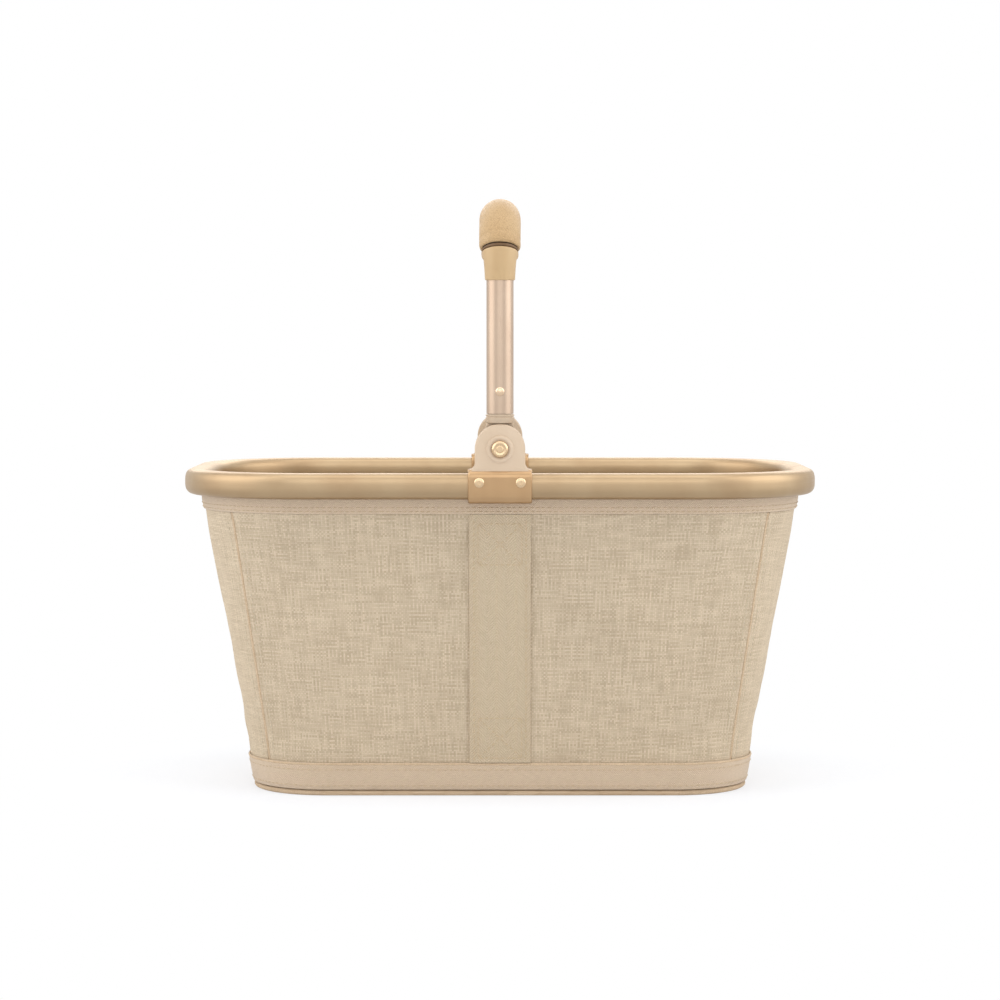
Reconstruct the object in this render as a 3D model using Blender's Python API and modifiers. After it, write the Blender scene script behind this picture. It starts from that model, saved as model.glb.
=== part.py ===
"""Collapsible shopping basket: a sewn fabric tub hung in an oval aluminium frame, with a folding carrying handle.

Metres, +Z up. The origin is the middle of the base, on the floor. X runs along the basket and the front is at -Y.
"""

import math

import bmesh
import bpy
from mathutils import Matrix, Vector

# Fits between pieces
GAP = 0.0003            # between pieces that touch
RUNNING_GAP = 0.0004    # between pieces that turn on each other

# Frame ring, an extruded tube with a groove for the hem in its underside
RIM_LENGTH = 0.474
RIM_WIDTH = 0.280
RIM_HEIGHT = 0.240      # floor to the top of the ring
RIM_CORNER = 0.098      # outer corner radius
TUBE_WIDE = 0.018
TUBE_HIGH = 0.019
TUBE_WALL = 0.0017
TUBE_SQUARENESS = 3.0   # 2 is an ellipse, more is squarer
GROOVE_INSET = 0.0040   # from the tube's middle towards the inside of the ring
GROOVE_RADIUS = 0.0024
GROOVE_MOUTH = 0.0022
GROOVE_LIP = 0.0015     # material between the groove and the underside
HALVES_GAP = 0.0010     # between the two halves of the ring

# Hem: a beaded tape in the groove
HEM_THICK = 0.0012
HEM_DROP = 0.0110       # below the ring

# Fabric tub
CLOTH_THICK = 0.0024
BASE_LENGTH = 0.370
BASE_WIDTH = 0.200
BASE_CORNER = 0.056
PIPING_RADIUS = 0.0020
WELT_RADIUS = 0.0012    # cord in the four corner seams
BINDING_HIGH = 0.020
BINDING_THICK = 0.0012
STRAP_WIDE = 0.045
STRAP_THICK = 0.0016

# Folding base boards
BOARD_THICK = 0.0030
BOARD_MARGIN = 0.0080   # between the board's edge and the wall
BOARD_CORNER = 0.046
BOARD_PARTING = 0.0008  # between the two boards
PAD_THICK = 0.0012      # one half of a hook-and-loop pair
PAD_LONG = 0.090
PAD_WIDE = 0.025
PAD_INSET = 0.022       # from the board's end
TAPE_WIDE = 0.030       # hinge tape under the boards
TAPE_THICK = 0.0010
TAB_WIDE = 0.024
TAB_LONG = 0.030
TAB_THICK = 0.0014

# Joint covers that close the ring and carry the handle
COVER_LONG = 0.046
COVER_WALL = 0.0024
EAR_RADIUS = 0.0182
EAR_THICK = 0.0040
PIVOT_RISE = 0.0272     # pivot above the middle of the ring's tube
SPLICE_LONG = 0.090
SCREW_RADIUS = 0.0020
SCREW_SPACING = 0.030
SCREW_HEAD_RADIUS = 0.0036
SCREW_HEAD_HIGH = 0.0014

# Pivots
TONGUE_THICK = 0.0080
TONGUE_RADIUS = 0.0138
WASHER_THICK = 0.0008
WASHER_RADIUS = 0.0105
PIN_RADIUS = 0.0030
PIN_HEAD_RADIUS = 0.0062
PIN_HEAD_HIGH = 0.0022
CAP_RADIUS = 0.0062
CAP_HIGH = 0.0030

# Handle, a bent round tube
HANDLE_RISE = 0.1935    # middle of the crossbar above the middle of the ring's tube
HANDLE_RADIUS = 0.0098
HANDLE_WALL = 0.0015
HANDLE_BEND = 0.036
FOOT_SHOULDER_RADIUS = 0.0104
FOOT_SHOULDER_HIGH = 0.0065
FOOT_PLUG_LONG = 0.034
RIVET_RADIUS = 0.0018
RIVET_HEAD_RADIUS = 0.0032
RIVET_HEAD_HIGH = 0.0010
RIVET_RISE = 0.016      # above the tube's end

# Grip: a foam core in a sewn cover, closed by a collar at each end
GRIP_RADIUS = 0.0150
GRIP_COVER_THICK = 0.0022
GRIP_END_RADIUS = 0.0136
GRIP_STEPS = 9          # of a bend's BEND_STEPS that the grip covers
COLLAR_LONG = 0.023
COLLAR_NECK_RADIUS = 0.0112
COLLAR_RADIUS = 0.0128
COLLAR_TIP_RADIUS = 0.0109

# Facets
ARC_STEPS = 8           # in a quarter of the ring and of the tub
BEND_STEPS = 12         # in each bend of the handle
ROUND_STEPS = 16        # round a tube
SMALL_STEPS = 12        # round a pin or a screw
CUT_MARGIN = 0.002      # how far a cutter runs past what it cuts

# Places that follow from the sizes above
RIM_Z = RIM_HEIGHT - TUBE_HIGH / 2
RIM_HALF_X = (RIM_LENGTH - TUBE_WIDE) / 2
RIM_HALF_Y = (RIM_WIDTH - TUBE_WIDE) / 2
RIM_BEND = RIM_CORNER - TUBE_WIDE / 2
GROOVE_Z = -TUBE_HIGH / 2 + GROOVE_LIP + GROOVE_RADIUS
CHAMBER_FLOOR = GROOVE_Z + GROOVE_RADIUS + TUBE_WALL
PIVOT_Z = RIM_Z + PIVOT_RISE
CROSSBAR_Z = RIM_Z + HANDLE_RISE
WALL_TOP_INSET = GROOVE_INSET + HEM_THICK / 2 + GAP
WALL_TOP_Z = RIM_Z - TUBE_HIGH / 2 - GAP - COVER_WALL - GAP - CLOTH_THICK * 0.3
WALL_BOTTOM_Z = 2 * PIPING_RADIUS + GAP
TUBE_START_Z = PIVOT_Z + EAR_RADIUS + RUNNING_GAP + FOOT_SHOULDER_HIGH + GAP
HEM_BOTTOM_Z = RIM_Z - TUBE_HIGH / 2 - HEM_DROP
BINDING_TOP_Z = WALL_BOTTOM_Z + GAP + BINDING_HIGH
WALL_SLOPE = (RIM_HALF_X - WALL_TOP_INSET - BASE_LENGTH / 2) / (WALL_TOP_Z - WALL_BOTTOM_Z)
LEAN_STRETCH = math.hypot(1, WALL_SLOPE)
BOARD_Z = CLOTH_THICK + 2 * PAD_THICK + 3 * GAP
BOARD_HALF_X = BASE_LENGTH / 2 - CLOTH_THICK - BOARD_MARGIN
BOARD_HALF_Y = BASE_WIDTH / 2 - CLOTH_THICK - BOARD_MARGIN

X, Y, Z = Vector((1, 0, 0)), Vector((0, 1, 0)), Vector((0, 0, 1))
FRONT, BACK = -1, 1
LEFT, RIGHT = -1, 1
SIDE_NAME = {FRONT: "front", BACK: "back"}
END_NAME = {LEFT: "left", RIGHT: "right"}


def clear_scene():
    for obj in list(bpy.data.objects):
        bpy.data.objects.remove(obj)


def new_collection(name, hidden=False):
    collection = bpy.data.collections.new(name)
    bpy.context.scene.collection.children.link(collection)
    collection.hide_render = hidden
    return collection


def material(name, colour, roughness, metallic=0.0):
    made = bpy.data.materials.new(name)
    made.use_nodes = True
    shader = made.node_tree.nodes["Principled BSDF"]
    shader.inputs["Base Color"].default_value = (*colour, 1.0)
    shader.inputs["Roughness"].default_value = roughness
    shader.inputs["Metallic"].default_value = metallic
    return made


def add_mesh(name, mesh, made_of=None, collection=None, smooth=True):
    """A named object on this mesh, in the basket's collection unless another is given."""
    obj = bpy.data.objects.new(name, mesh)
    (collection or basket).objects.link(obj)
    if made_of:
        mesh.materials.clear()
        mesh.materials.append(made_of)
    if smooth:
        mesh.shade_smooth()
        mesh.set_sharp_from_angle(angle=math.radians(40))
    return obj


def mesh_of(bm, name):
    bmesh.ops.recalc_face_normals(bm, faces=bm.faces)
    mesh = bpy.data.meshes.new(name)
    bm.to_mesh(mesh)
    bm.free()
    return mesh


def circle(radius, steps=ROUND_STEPS, start=0.0, sweep=2 * math.pi):
    """Points on a circle or an arc, anticlockwise. An arc includes both of its ends.

    A whole circle starts half a facet on, so that no corner lies on an axis.
    """
    whole = abs(sweep - 2 * math.pi) < 1e-9
    count = steps if whole else steps + 1
    start += math.pi / steps if whole else 0.0
    return [
        (radius * math.cos(start + sweep * i / steps), radius * math.sin(start + sweep * i / steps))
        for i in range(count)
    ]


def rounded_rectangle(half_x, half_y, radius, steps=ARC_STEPS):
    """Outline points, anticlockwise from the middle of the front side."""
    points = [(0.0, -half_y)]
    for turn, (sx, sy) in enumerate(((1, -1), (1, 1), (-1, 1), (-1, -1))):
        cx, cy = sx * (half_x - radius), sy * (half_y - radius)
        arc = circle(radius, steps, start=math.pi / 2 * (turn - 1), sweep=math.pi / 2)
        points += [(cx + px, cy + py) for px, py in arc]
        if turn == 1:
            points.append((0.0, half_y))
    return points


def filled(loops, to_plane):
    """A flat face inside the first loop and outside the others, carried to its plane by a matrix."""
    curve = bpy.data.curves.new("outline", "CURVE")
    curve.dimensions = "2D"
    curve.fill_mode = "BOTH"
    for loop in loops:
        spline = curve.splines.new("POLY")
        spline.points.add(len(loop) - 1)
        for point, (px, py) in zip(spline.points, loop):
            point.co = (px, py, 0.0, 1.0)
        spline.use_cyclic_u = True
    outline = bpy.data.objects.new("outline", curve)
    bpy.context.scene.collection.objects.link(outline)
    graph = bpy.context.evaluated_depsgraph_get()
    mesh = bpy.data.meshes.new_from_object(outline.evaluated_get(graph))
    bpy.data.objects.remove(outline)
    bm = bmesh.new()
    bm.from_mesh(mesh)
    bpy.data.meshes.remove(mesh)
    bmesh.ops.remove_doubles(bm, verts=bm.verts, dist=1e-6)
    bmesh.ops.transform(bm, matrix=to_plane, verts=bm.verts)
    return bm


def extruded(bm, faces):
    """Extrudes a region of faces in place; the old faces go, unless they are the sweep's first end."""
    edges = list(dict.fromkeys(e for face in faces for e in face.edges))
    return bmesh.ops.extrude_face_region(bm, geom=faces + edges)["geom"]


def push(bm, faces, by):
    """Extrudes a region of faces along a vector and returns its new faces."""
    made = extruded(bm, faces)
    bmesh.ops.translate(bm, vec=by, verts=[g for g in made if isinstance(g, bmesh.types.BMVert)])
    return [g for g in made if isinstance(g, bmesh.types.BMFace)]


def turn(bm, faces, centre, axis, angle, steps):
    """Extrudes a region of faces round an axis in steps and returns its last faces."""
    step = Matrix.Rotation(angle / steps, 3, axis)
    for _ in range(steps):
        made = extruded(bm, faces)
        verts = [g for g in made if isinstance(g, bmesh.types.BMVert)]
        bmesh.ops.rotate(bm, cent=centre, matrix=step, verts=verts)
        faces = [g for g in made if isinstance(g, bmesh.types.BMFace)]
    return faces


def lofted(rings, name):
    """Mesh of a closed sleeve through rings of matching points, the last ring joined to the first."""
    bm = bmesh.new()
    rows = [[bm.verts.new(point) for point in ring] for ring in rings]
    for row, following in zip(rows, rows[1:] + rows[:1]):
        for a, b, c, d in zip(row, row[1:] + row[:1], following[1:] + following[:1], following):
            bm.faces.new((a, b, c, d))
    return mesh_of(bm, name)


def plane_at(origin, across, up):
    """Matrix that carries a drawing's x to `across`, its y to `up` and its origin to a point."""
    across, up = Vector(across), Vector(up)
    normal = across.cross(up)
    rotation = Matrix((across, up, normal)).transposed().to_4x4()
    return Matrix.Translation(Vector(origin)) @ rotation


def plate(loops, to_plane, thick):
    """Mesh of a flat outline with holes, `thick` along its plane's normal."""
    bm = filled(loops, to_plane)
    push(bm, list(bm.faces), to_plane.to_3x3() @ Z * thick)
    return mesh_of(bm, "plate")


def turned(profile, to_plane, steps=SMALL_STEPS):
    """Object data of a profile of (radius, height) turned round the plane's normal, top to bottom outside."""
    bm = bmesh.new()
    verts = [bm.verts.new((radius, 0.0, height)) for radius, height in profile]
    for a, b in zip(verts, verts[1:] + verts[:1]):
        if not (a.co.x < 1e-9 and b.co.x < 1e-9):
            bm.edges.new((a, b))
    bmesh.ops.spin(
        bm, geom=list(bm.verts) + list(bm.edges), cent=(0, 0, 0), axis=(0, 0, 1),
        angle=2 * math.pi, steps=steps, use_merge=True,
    )
    bmesh.ops.remove_doubles(bm, verts=bm.verts, dist=1e-5)
    half_facet = Matrix.Rotation(math.pi / steps, 4, "Z")
    bmesh.ops.transform(bm, matrix=to_plane @ half_facet, verts=bm.verts)
    return mesh_of(bm, "turned")


def joined(meshes):
    """One mesh of several separate solids."""
    bm = bmesh.new()
    for mesh in meshes:
        bm.from_mesh(mesh)
    return mesh_of(bm, "group")


def cut(obj, *cutter_meshes):
    """Takes each cutter away from an object."""
    for i, mesh in enumerate(cutter_meshes):
        cutter = add_mesh(f"{obj.name}_cutter_{i}", mesh, collection=cutters, smooth=False)
        cutter.hide_render = True
        cutter.display_type = "WIRE"
        modifier = obj.modifiers.new(f"cut_{i}", "BOOLEAN")
        modifier.operation = "DIFFERENCE"
        modifier.solver = "EXACT"
        modifier.object = cutter


# Frame ring


def tube_outline(grow=0.0, steps=20):
    """The ring tube's outer outline, from just right of the bottom, anticlockwise."""
    points = []
    for i in range(steps):
        a = 2 * math.pi * (i + 0.5) / steps - math.pi / 2
        c, s = math.cos(a), math.sin(a)
        power = 2 / TUBE_SQUARENESS
        points.append((
            (TUBE_WIDE / 2 + grow) * math.copysign(abs(c) ** power, c),
            (TUBE_HIGH / 2 + grow) * math.copysign(abs(s) ** power, s),
        ))
    return points


def chamber_outline(shrink=0.0, steps=8):
    """The hollow above the groove, a half ellipse."""
    half = TUBE_WIDE / 2 - TUBE_WALL - shrink
    high = TUBE_HIGH / 2 - TUBE_WALL - CHAMBER_FLOOR - 2 * shrink
    return [
        (half * math.cos(math.pi * i / steps), CHAMBER_FLOOR + shrink + high * math.sin(math.pi * i / steps))
        for i in range(steps + 1)
    ]


def tube_underside(px):
    """A point of the ring tube's underside at a distance from its middle."""
    rest = 1 - (abs(px) / (TUBE_WIDE / 2)) ** TUBE_SQUARENESS
    return (px, -TUBE_HIGH / 2 * rest ** (1 / TUBE_SQUARENESS))


def rim_section():
    """The ring tube's section: the outer outline let into the hem groove, and the chamber."""
    mouth = GROOVE_MOUTH / 2
    outer = [p for p in tube_outline() if abs(p[0] - GROOVE_INSET) > mouth + 0.0005 or p[1] > 0]
    middle = [p for p in outer if p[1] < 0 and 0 < p[0] < GROOVE_INSET]
    outer = [p for p in outer if p not in middle] + middle
    opening = math.asin(mouth / GROOVE_RADIUS)
    groove = circle(GROOVE_RADIUS, 8, start=opening - math.pi / 2, sweep=2 * math.pi - 2 * opening)
    groove = [(px + GROOVE_INSET, py + GROOVE_Z) for px, py in groove]
    lips = [tube_underside(GROOVE_INSET + mouth), tube_underside(GROOVE_INSET - mouth)]
    return [
        lips[:1] + outer + lips[1:] + groove[::-1],
        chamber_outline(),
    ]


def ring_half(loops, start_gap):
    """Sweeps a section along the left half of the ring, from the front joint round to the back joint."""
    straight_x, straight_y = RIM_HALF_X - RIM_BEND, RIM_HALF_Y - RIM_BEND
    bm = filled(loops, plane_at((-start_gap, -RIM_HALF_Y, RIM_Z), Y, Z))
    faces = push(bm, list(bm.faces), -X * (straight_x - start_gap))
    faces = turn(bm, faces, (-straight_x, -straight_y, 0), Z, -math.pi / 2, ARC_STEPS)
    faces = push(bm, faces, Y * 2 * straight_y)
    faces = turn(bm, faces, (-straight_x, straight_y, 0), Z, -math.pi / 2, ARC_STEPS)
    push(bm, faces, X * (straight_x - start_gap))
    return mesh_of(bm, "ring_half")


def add_rim():
    mesh = ring_half(rim_section(), HALVES_GAP / 2)
    add_mesh("rim_left", mesh, gold)
    right = add_mesh("rim_right", mesh)
    right.rotation_euler.z = math.pi
    for side in (FRONT, BACK):
        loops = [chamber_outline(shrink=GAP)]
        plane = plane_at((SPLICE_LONG / 2, side * RIM_HALF_Y, RIM_Z), Y, Z)
        bm = filled(loops, plane)
        push(bm, list(bm.faces), -X * SPLICE_LONG)
        add_mesh(f"rim_splice_{SIDE_NAME[side]}", mesh_of(bm, "splice"), grey_metal)


def add_hem():
    """Closed ring of tape: a bead in the groove, and a skirt that follows the top of the wall outside."""
    bead = GROOVE_RADIUS - GAP
    half = HEM_THICK / 2
    opening = math.asin(half / bead)
    arc = circle(bead, 8, start=opening - math.pi / 2, sweep=2 * math.pi - 2 * opening)
    section = [(half, WALL_TOP_Z)] + [(px, py + GROOVE_Z + RIM_Z) for px, py in arc] + [(-half, WALL_TOP_Z)]
    outer_skirt = outline_at(HEM_BOTTOM_Z, (GAP + HEM_THICK) * LEAN_STRETCH)
    inner_skirt = outline_at(HEM_BOTTOM_Z, GAP * LEAN_STRETCH)
    offsets = {}
    for across, _ in section:
        out = across - GROOVE_INSET
        offsets[across] = rounded_rectangle(RIM_HALF_X + out, RIM_HALF_Y + out, RIM_BEND + out)
    rings = []
    for i, (outer, inner) in enumerate(zip(outer_skirt, inner_skirt)):
        swept = [(*offsets[across][i], z) for across, z in section]
        rings.append([outer] + swept + [inner])
    add_mesh("rim_hem", lofted(rings, "hem"), tape_cloth)


# Joint covers, screws and pivots


def cover_hole(radius):
    """Cutters for the two screws that cross a joint, along Y at the ring's chamber."""
    z = (CHAMBER_FLOOR + TUBE_HIGH / 2 - TUBE_WALL) / 2
    reach = TUBE_WIDE / 2 + COVER_WALL + CUT_MARGIN
    return [
        turned(
            [(0, reach), (radius, reach), (radius, -reach), (0, -reach)],
            plane_at((sx * SCREW_SPACING / 2, 0, z), -X, Z),
        )
        for sx in (-1, 1)
    ]


def add_joint(side):
    """The two moulded halves that clamp the ring's ends and stand up as ears for the handle, with their screws.

    They part at the hem, which leaves the ring between them.
    It is built at the origin for the back joint and moved; the front joint is the same turned by half a turn.
    """
    place = Matrix.Translation((0, side * RIM_HALF_Y, RIM_Z))
    if side == FRONT:
        place = place @ Matrix.Rotation(math.pi, 4, "Z")
    clamp_half_y = TUBE_WIDE / 2 + GAP + COVER_WALL
    clamp_half_z = TUBE_HIGH / 2 + GAP + COVER_WALL
    ear_inner = TONGUE_THICK / 2 + WASHER_THICK + 2 * GAP
    for face, label in ((1, "outer"), (-1, "inner")):
        bm = bmesh.new()
        bmesh.ops.create_cube(bm, size=1.0)
        depth = clamp_half_y + face * GROOVE_INSET - GAP / 2
        bmesh.ops.scale(bm, vec=(COVER_LONG, depth, 2 * clamp_half_z), verts=bm.verts)
        bmesh.ops.translate(bm, vec=(0, face * (clamp_half_y - depth / 2), 0), verts=bm.verts)
        corners = [
            e for e in bm.edges
            if abs(e.verts[0].co.x - e.verts[1].co.x) > COVER_LONG / 2
            and e.verts[0].co.y * face > clamp_half_y - GAP
        ]
        bmesh.ops.bevel(bm, geom=corners, offset=COVER_WALL, segments=3, profile=0.5, affect="EDGES")
        cover = add_mesh(f"cover_{SIDE_NAME[side]}_{label}", mesh_of(bm, "cover"), tan_plastic)
        ear = circle(EAR_RADIUS, SMALL_STEPS, start=0.0, sweep=math.pi)
        ear = [(px, py + PIVOT_RISE) for px, py in ear]
        root = clamp_half_z - COVER_WALL / 2
        outline = ear + [(-EAR_RADIUS, root), (EAR_RADIUS, root)]
        start = ear_inner if face > 0 else -ear_inner - EAR_THICK
        ear_mesh = plate([outline], plane_at((0, start + EAR_THICK, 0), X, Z), EAR_THICK)
        ear_part = add_mesh(f"{cover.name}_ear", ear_mesh, collection=cutters, smooth=False)
        ear_part.hide_render = True
        ear_part.display_type = "WIRE"
        union = cover.modifiers.new("ear", "BOOLEAN")
        union.operation = "UNION"
        union.solver = "EXACT"
        union.object = ear_part
        reach = COVER_LONG / 2 + CUT_MARGIN
        bore = filled([tube_outline(grow=GAP)], plane_at((reach, 0, 0), Y, Z))
        push(bore, list(bore.faces), -X * 2 * reach)
        slot = bmesh.new()
        bmesh.ops.create_cube(slot, size=1.0)
        bmesh.ops.scale(slot, vec=(2 * reach, HEM_THICK + 2 * GAP, clamp_half_z), verts=slot.verts)
        bmesh.ops.translate(slot, vec=(0, -GROOVE_INSET, -clamp_half_z), verts=slot.verts)
        pin_reach = TUBE_WIDE
        pin_hole = turned(
            [(0, pin_reach), (PIN_RADIUS + GAP, pin_reach), (PIN_RADIUS + GAP, -pin_reach), (0, -pin_reach)],
            plane_at((0, 0, PIVOT_RISE), -X, Z),
        )
        cut(cover, mesh_of(bore, "bore"), mesh_of(slot, "slot"), pin_hole, *cover_hole(SCREW_RADIUS + GAP))
        for helper in [cover, ear_part] + [m.object for m in cover.modifiers if m.name.startswith("cut")]:
            helper.matrix_world = place
    return place


def add_screws(side, place):
    """Two through screws with a low head on each side."""
    z = (CHAMBER_FLOOR + TUBE_HIGH / 2 - TUBE_WALL) / 2
    seat = TUBE_WIDE / 2 + GAP + COVER_WALL + GAP
    profile = [
        (0, seat + SCREW_HEAD_HIGH),
        (SCREW_HEAD_RADIUS * 0.7, seat + SCREW_HEAD_HIGH),
        (SCREW_HEAD_RADIUS, seat + SCREW_HEAD_HIGH * 0.4),
        (SCREW_HEAD_RADIUS, seat),
        (SCREW_RADIUS, seat),
    ]
    profile += [(radius, -height) for radius, height in reversed(profile)]
    for end in (LEFT, RIGHT):
        mesh = turned(profile, plane_at((end * side * SCREW_SPACING / 2, 0, z), -X, Z))
        add_mesh(f"cover_screw_{SIDE_NAME[side]}_{END_NAME[end]}", mesh, steel).matrix_world = place


def drill_rim():
    """Clearance holes for the joint screws in the ring's halves and in the splices."""
    for name, sides in (
        ("rim_left", (FRONT, BACK)), ("rim_right", (FRONT, BACK)),
        ("rim_splice_front", (FRONT,)), ("rim_splice_back", (BACK,)),
    ):
        meshes = []
        for side in sides:
            for mesh in cover_hole(SCREW_RADIUS + GAP):
                mesh.transform(Matrix.Translation((0, side * RIM_HALF_Y, RIM_Z)))
                meshes.append(mesh)
        if name == "rim_right":
            for mesh in meshes:
                mesh.transform(Matrix.Rotation(math.pi, 4, "Z"))
        obj = bpy.data.objects[name]
        cut(obj, joined(meshes))
        if name == "rim_right":
            obj.modifiers[-1].object.rotation_euler.z = math.pi


def add_pivot(side, place):
    """Pin with a head outside, a push-on cap inside, and a friction washer on each side of the tongue."""
    ear_outer = TONGUE_THICK / 2 + WASHER_THICK + 2 * GAP + EAR_THICK
    head = ear_outer + GAP
    stem_end = -(ear_outer + GAP + CAP_HIGH * 0.6)
    pin = turned(
        [
            (0, head + PIN_HEAD_HIGH),
            (PIN_HEAD_RADIUS * 0.75, head + PIN_HEAD_HIGH),
            (PIN_HEAD_RADIUS, head + PIN_HEAD_HIGH * 0.4),
            (PIN_HEAD_RADIUS, head),
            (PIN_RADIUS, head),
            (PIN_RADIUS, stem_end),
            (0, stem_end),
        ],
        plane_at((0, 0, PIVOT_RISE), -X, Z), steps=ROUND_STEPS,
    )
    cap_face = -(ear_outer + GAP)
    cap_hole = PIN_RADIUS + GAP
    cap = turned(
        [
            (cap_hole, cap_face),
            (CAP_RADIUS, cap_face),
            (CAP_RADIUS, cap_face - CAP_HIGH * 0.6),
            (CAP_RADIUS * 0.7, cap_face - CAP_HIGH),
            (0, cap_face - CAP_HIGH),
            (0, stem_end - GAP),
            (cap_hole, stem_end - GAP),
        ],
        plane_at((0, 0, PIVOT_RISE), -X, Z), steps=ROUND_STEPS,
    )
    parts = [("pivot_pin", pin, steel), ("pivot_cap", cap, steel)]
    for face, label in ((1, "outer"), (-1, "inner")):
        near = face * (TONGUE_THICK / 2 + GAP)
        far = near + face * WASHER_THICK
        low, high = min(near, far), max(near, far)
        washer = turned(
            [
                (WASHER_RADIUS, high), (WASHER_RADIUS, low),
                (PIN_RADIUS + GAP, low), (PIN_RADIUS + GAP, high),
            ],
            plane_at((0, 0, PIVOT_RISE), -X, Z), steps=ROUND_STEPS,
        )
        parts.append((f"pivot_washer_{label}", washer, washer_plastic))
    for name, mesh, made_of in parts:
        add_mesh(f"{name}_{SIDE_NAME[side]}", mesh, made_of).matrix_world = place


# Handle


def handle_pivot(side):
    """Empty on the handle's joint axis; the foot at that side is placed by it."""
    empty = bpy.data.objects.new(f"handle_axis_{SIDE_NAME[side]}", None)
    basket.objects.link(empty)
    empty.location = (0, side * RIM_HALF_Y, PIVOT_Z)
    if side == FRONT:
        empty.rotation_euler.z = math.pi
    return empty


def add_foot(side):
    """Moulded end of the handle: a tongue with the pivot hole, a shoulder, and a plug inside the tube."""
    shoulder = EAR_RADIUS + RUNNING_GAP
    tongue_top = shoulder + FOOT_SHOULDER_HIGH / 2
    arc = circle(TONGUE_RADIUS, SMALL_STEPS, start=math.pi, sweep=math.pi)
    narrow = FOOT_SHOULDER_RADIUS * 0.86
    outline = arc + [(narrow, tongue_top), (-narrow, tongue_top)]
    tongue = plate([outline], plane_at((0, TONGUE_THICK / 2, 0), X, Z), TONGUE_THICK)
    plug_radius = HANDLE_RADIUS - HANDLE_WALL - GAP
    top = shoulder + FOOT_SHOULDER_HIGH
    stem = turned(
        [
            (0, top + FOOT_PLUG_LONG),
            (plug_radius * 0.85, top + FOOT_PLUG_LONG),
            (plug_radius, top + FOOT_PLUG_LONG - 0.002),
            (plug_radius, top),
            (FOOT_SHOULDER_RADIUS, top),
            (FOOT_SHOULDER_RADIUS, shoulder),
            (0, shoulder),
        ],
        Matrix.Identity(4), steps=ROUND_STEPS,
    )
    foot = add_mesh(f"handle_foot_{SIDE_NAME[side]}", stem, tan_plastic)
    part = add_mesh(f"{foot.name}_tongue", tongue, collection=cutters, smooth=False)
    part.hide_render = True
    part.display_type = "WIRE"
    union = foot.modifiers.new("tongue", "BOOLEAN")
    union.operation = "UNION"
    union.solver = "EXACT"
    union.object = part
    hole = PIN_RADIUS + RUNNING_GAP
    pin_hole = turned(
        [(0, TONGUE_THICK), (hole, TONGUE_THICK), (hole, -TONGUE_THICK), (0, -TONGUE_THICK)],
        plane_at((0, 0, 0), -X, Z), steps=ROUND_STEPS,
    )
    rivet_z = top + GAP + RIVET_RISE
    rivet = RIVET_RADIUS + GAP
    rivet_hole = turned(
        [(0, TUBE_WIDE), (rivet, TUBE_WIDE), (rivet, -TUBE_WIDE), (0, -TUBE_WIDE)],
        plane_at((0, 0, rivet_z), -X, Z),
    )
    cut(foot, pin_hole, rivet_hole)
    axis = handle_pivot(side)
    for helper in [foot, part] + [m.object for m in foot.modifiers if m.name.startswith("cut")]:
        helper.parent = axis
    seat = HANDLE_RADIUS + GAP
    profile = [
        (0, seat + RIVET_HEAD_HIGH),
        (RIVET_HEAD_RADIUS * 0.6, seat + RIVET_HEAD_HIGH),
        (RIVET_HEAD_RADIUS, seat + RIVET_HEAD_HIGH * 0.3),
        (RIVET_HEAD_RADIUS, seat),
        (RIVET_RADIUS, seat),
    ]
    profile += [(radius, -height) for radius, height in reversed(profile)]
    rivet_mesh = turned(profile, plane_at((0, 0, rivet_z), -X, Z))
    add_mesh(f"handle_rivet_{SIDE_NAME[side]}", rivet_mesh, gold).parent = axis


def handle_bar(loops):
    """Sweeps a section up the front leg, over the top and down the back leg."""
    straight = RIM_HALF_Y - HANDLE_BEND
    bend_z = CROSSBAR_Z - HANDLE_BEND
    leg = bend_z - TUBE_START_Z
    bm = filled(loops, plane_at((0, -RIM_HALF_Y, TUBE_START_Z), X, -Y))
    faces = push(bm, list(bm.faces), Z * leg)
    faces = turn(bm, faces, (0, -straight, bend_z), X, -math.pi / 2, BEND_STEPS)
    faces = push(bm, faces, Y * 2 * straight)
    faces = turn(bm, faces, (0, straight, bend_z), X, -math.pi / 2, BEND_STEPS)
    push(bm, faces, -Z * leg)
    return mesh_of(bm, "handle_bar")


def loft_on_bar(stations):
    """A closed sleeve through circles round the handle, given as (side, run up the bend, radius).

    A run below 0 is on the straight leg under the bend.
    """
    rings = []
    for side, run, radius in stations:
        angle = max(0.0, run) / HANDLE_BEND
        out = Vector((0, side * math.cos(angle), math.sin(angle)))
        centre = Vector((0, side * (RIM_HALF_Y - HANDLE_BEND), CROSSBAR_Z - HANDLE_BEND)) + out * HANDLE_BEND
        centre.z += min(0.0, run)
        rings.append([centre + X * px + out * py for px, py in circle(radius)])
    return lofted(rings, "sleeve")


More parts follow.
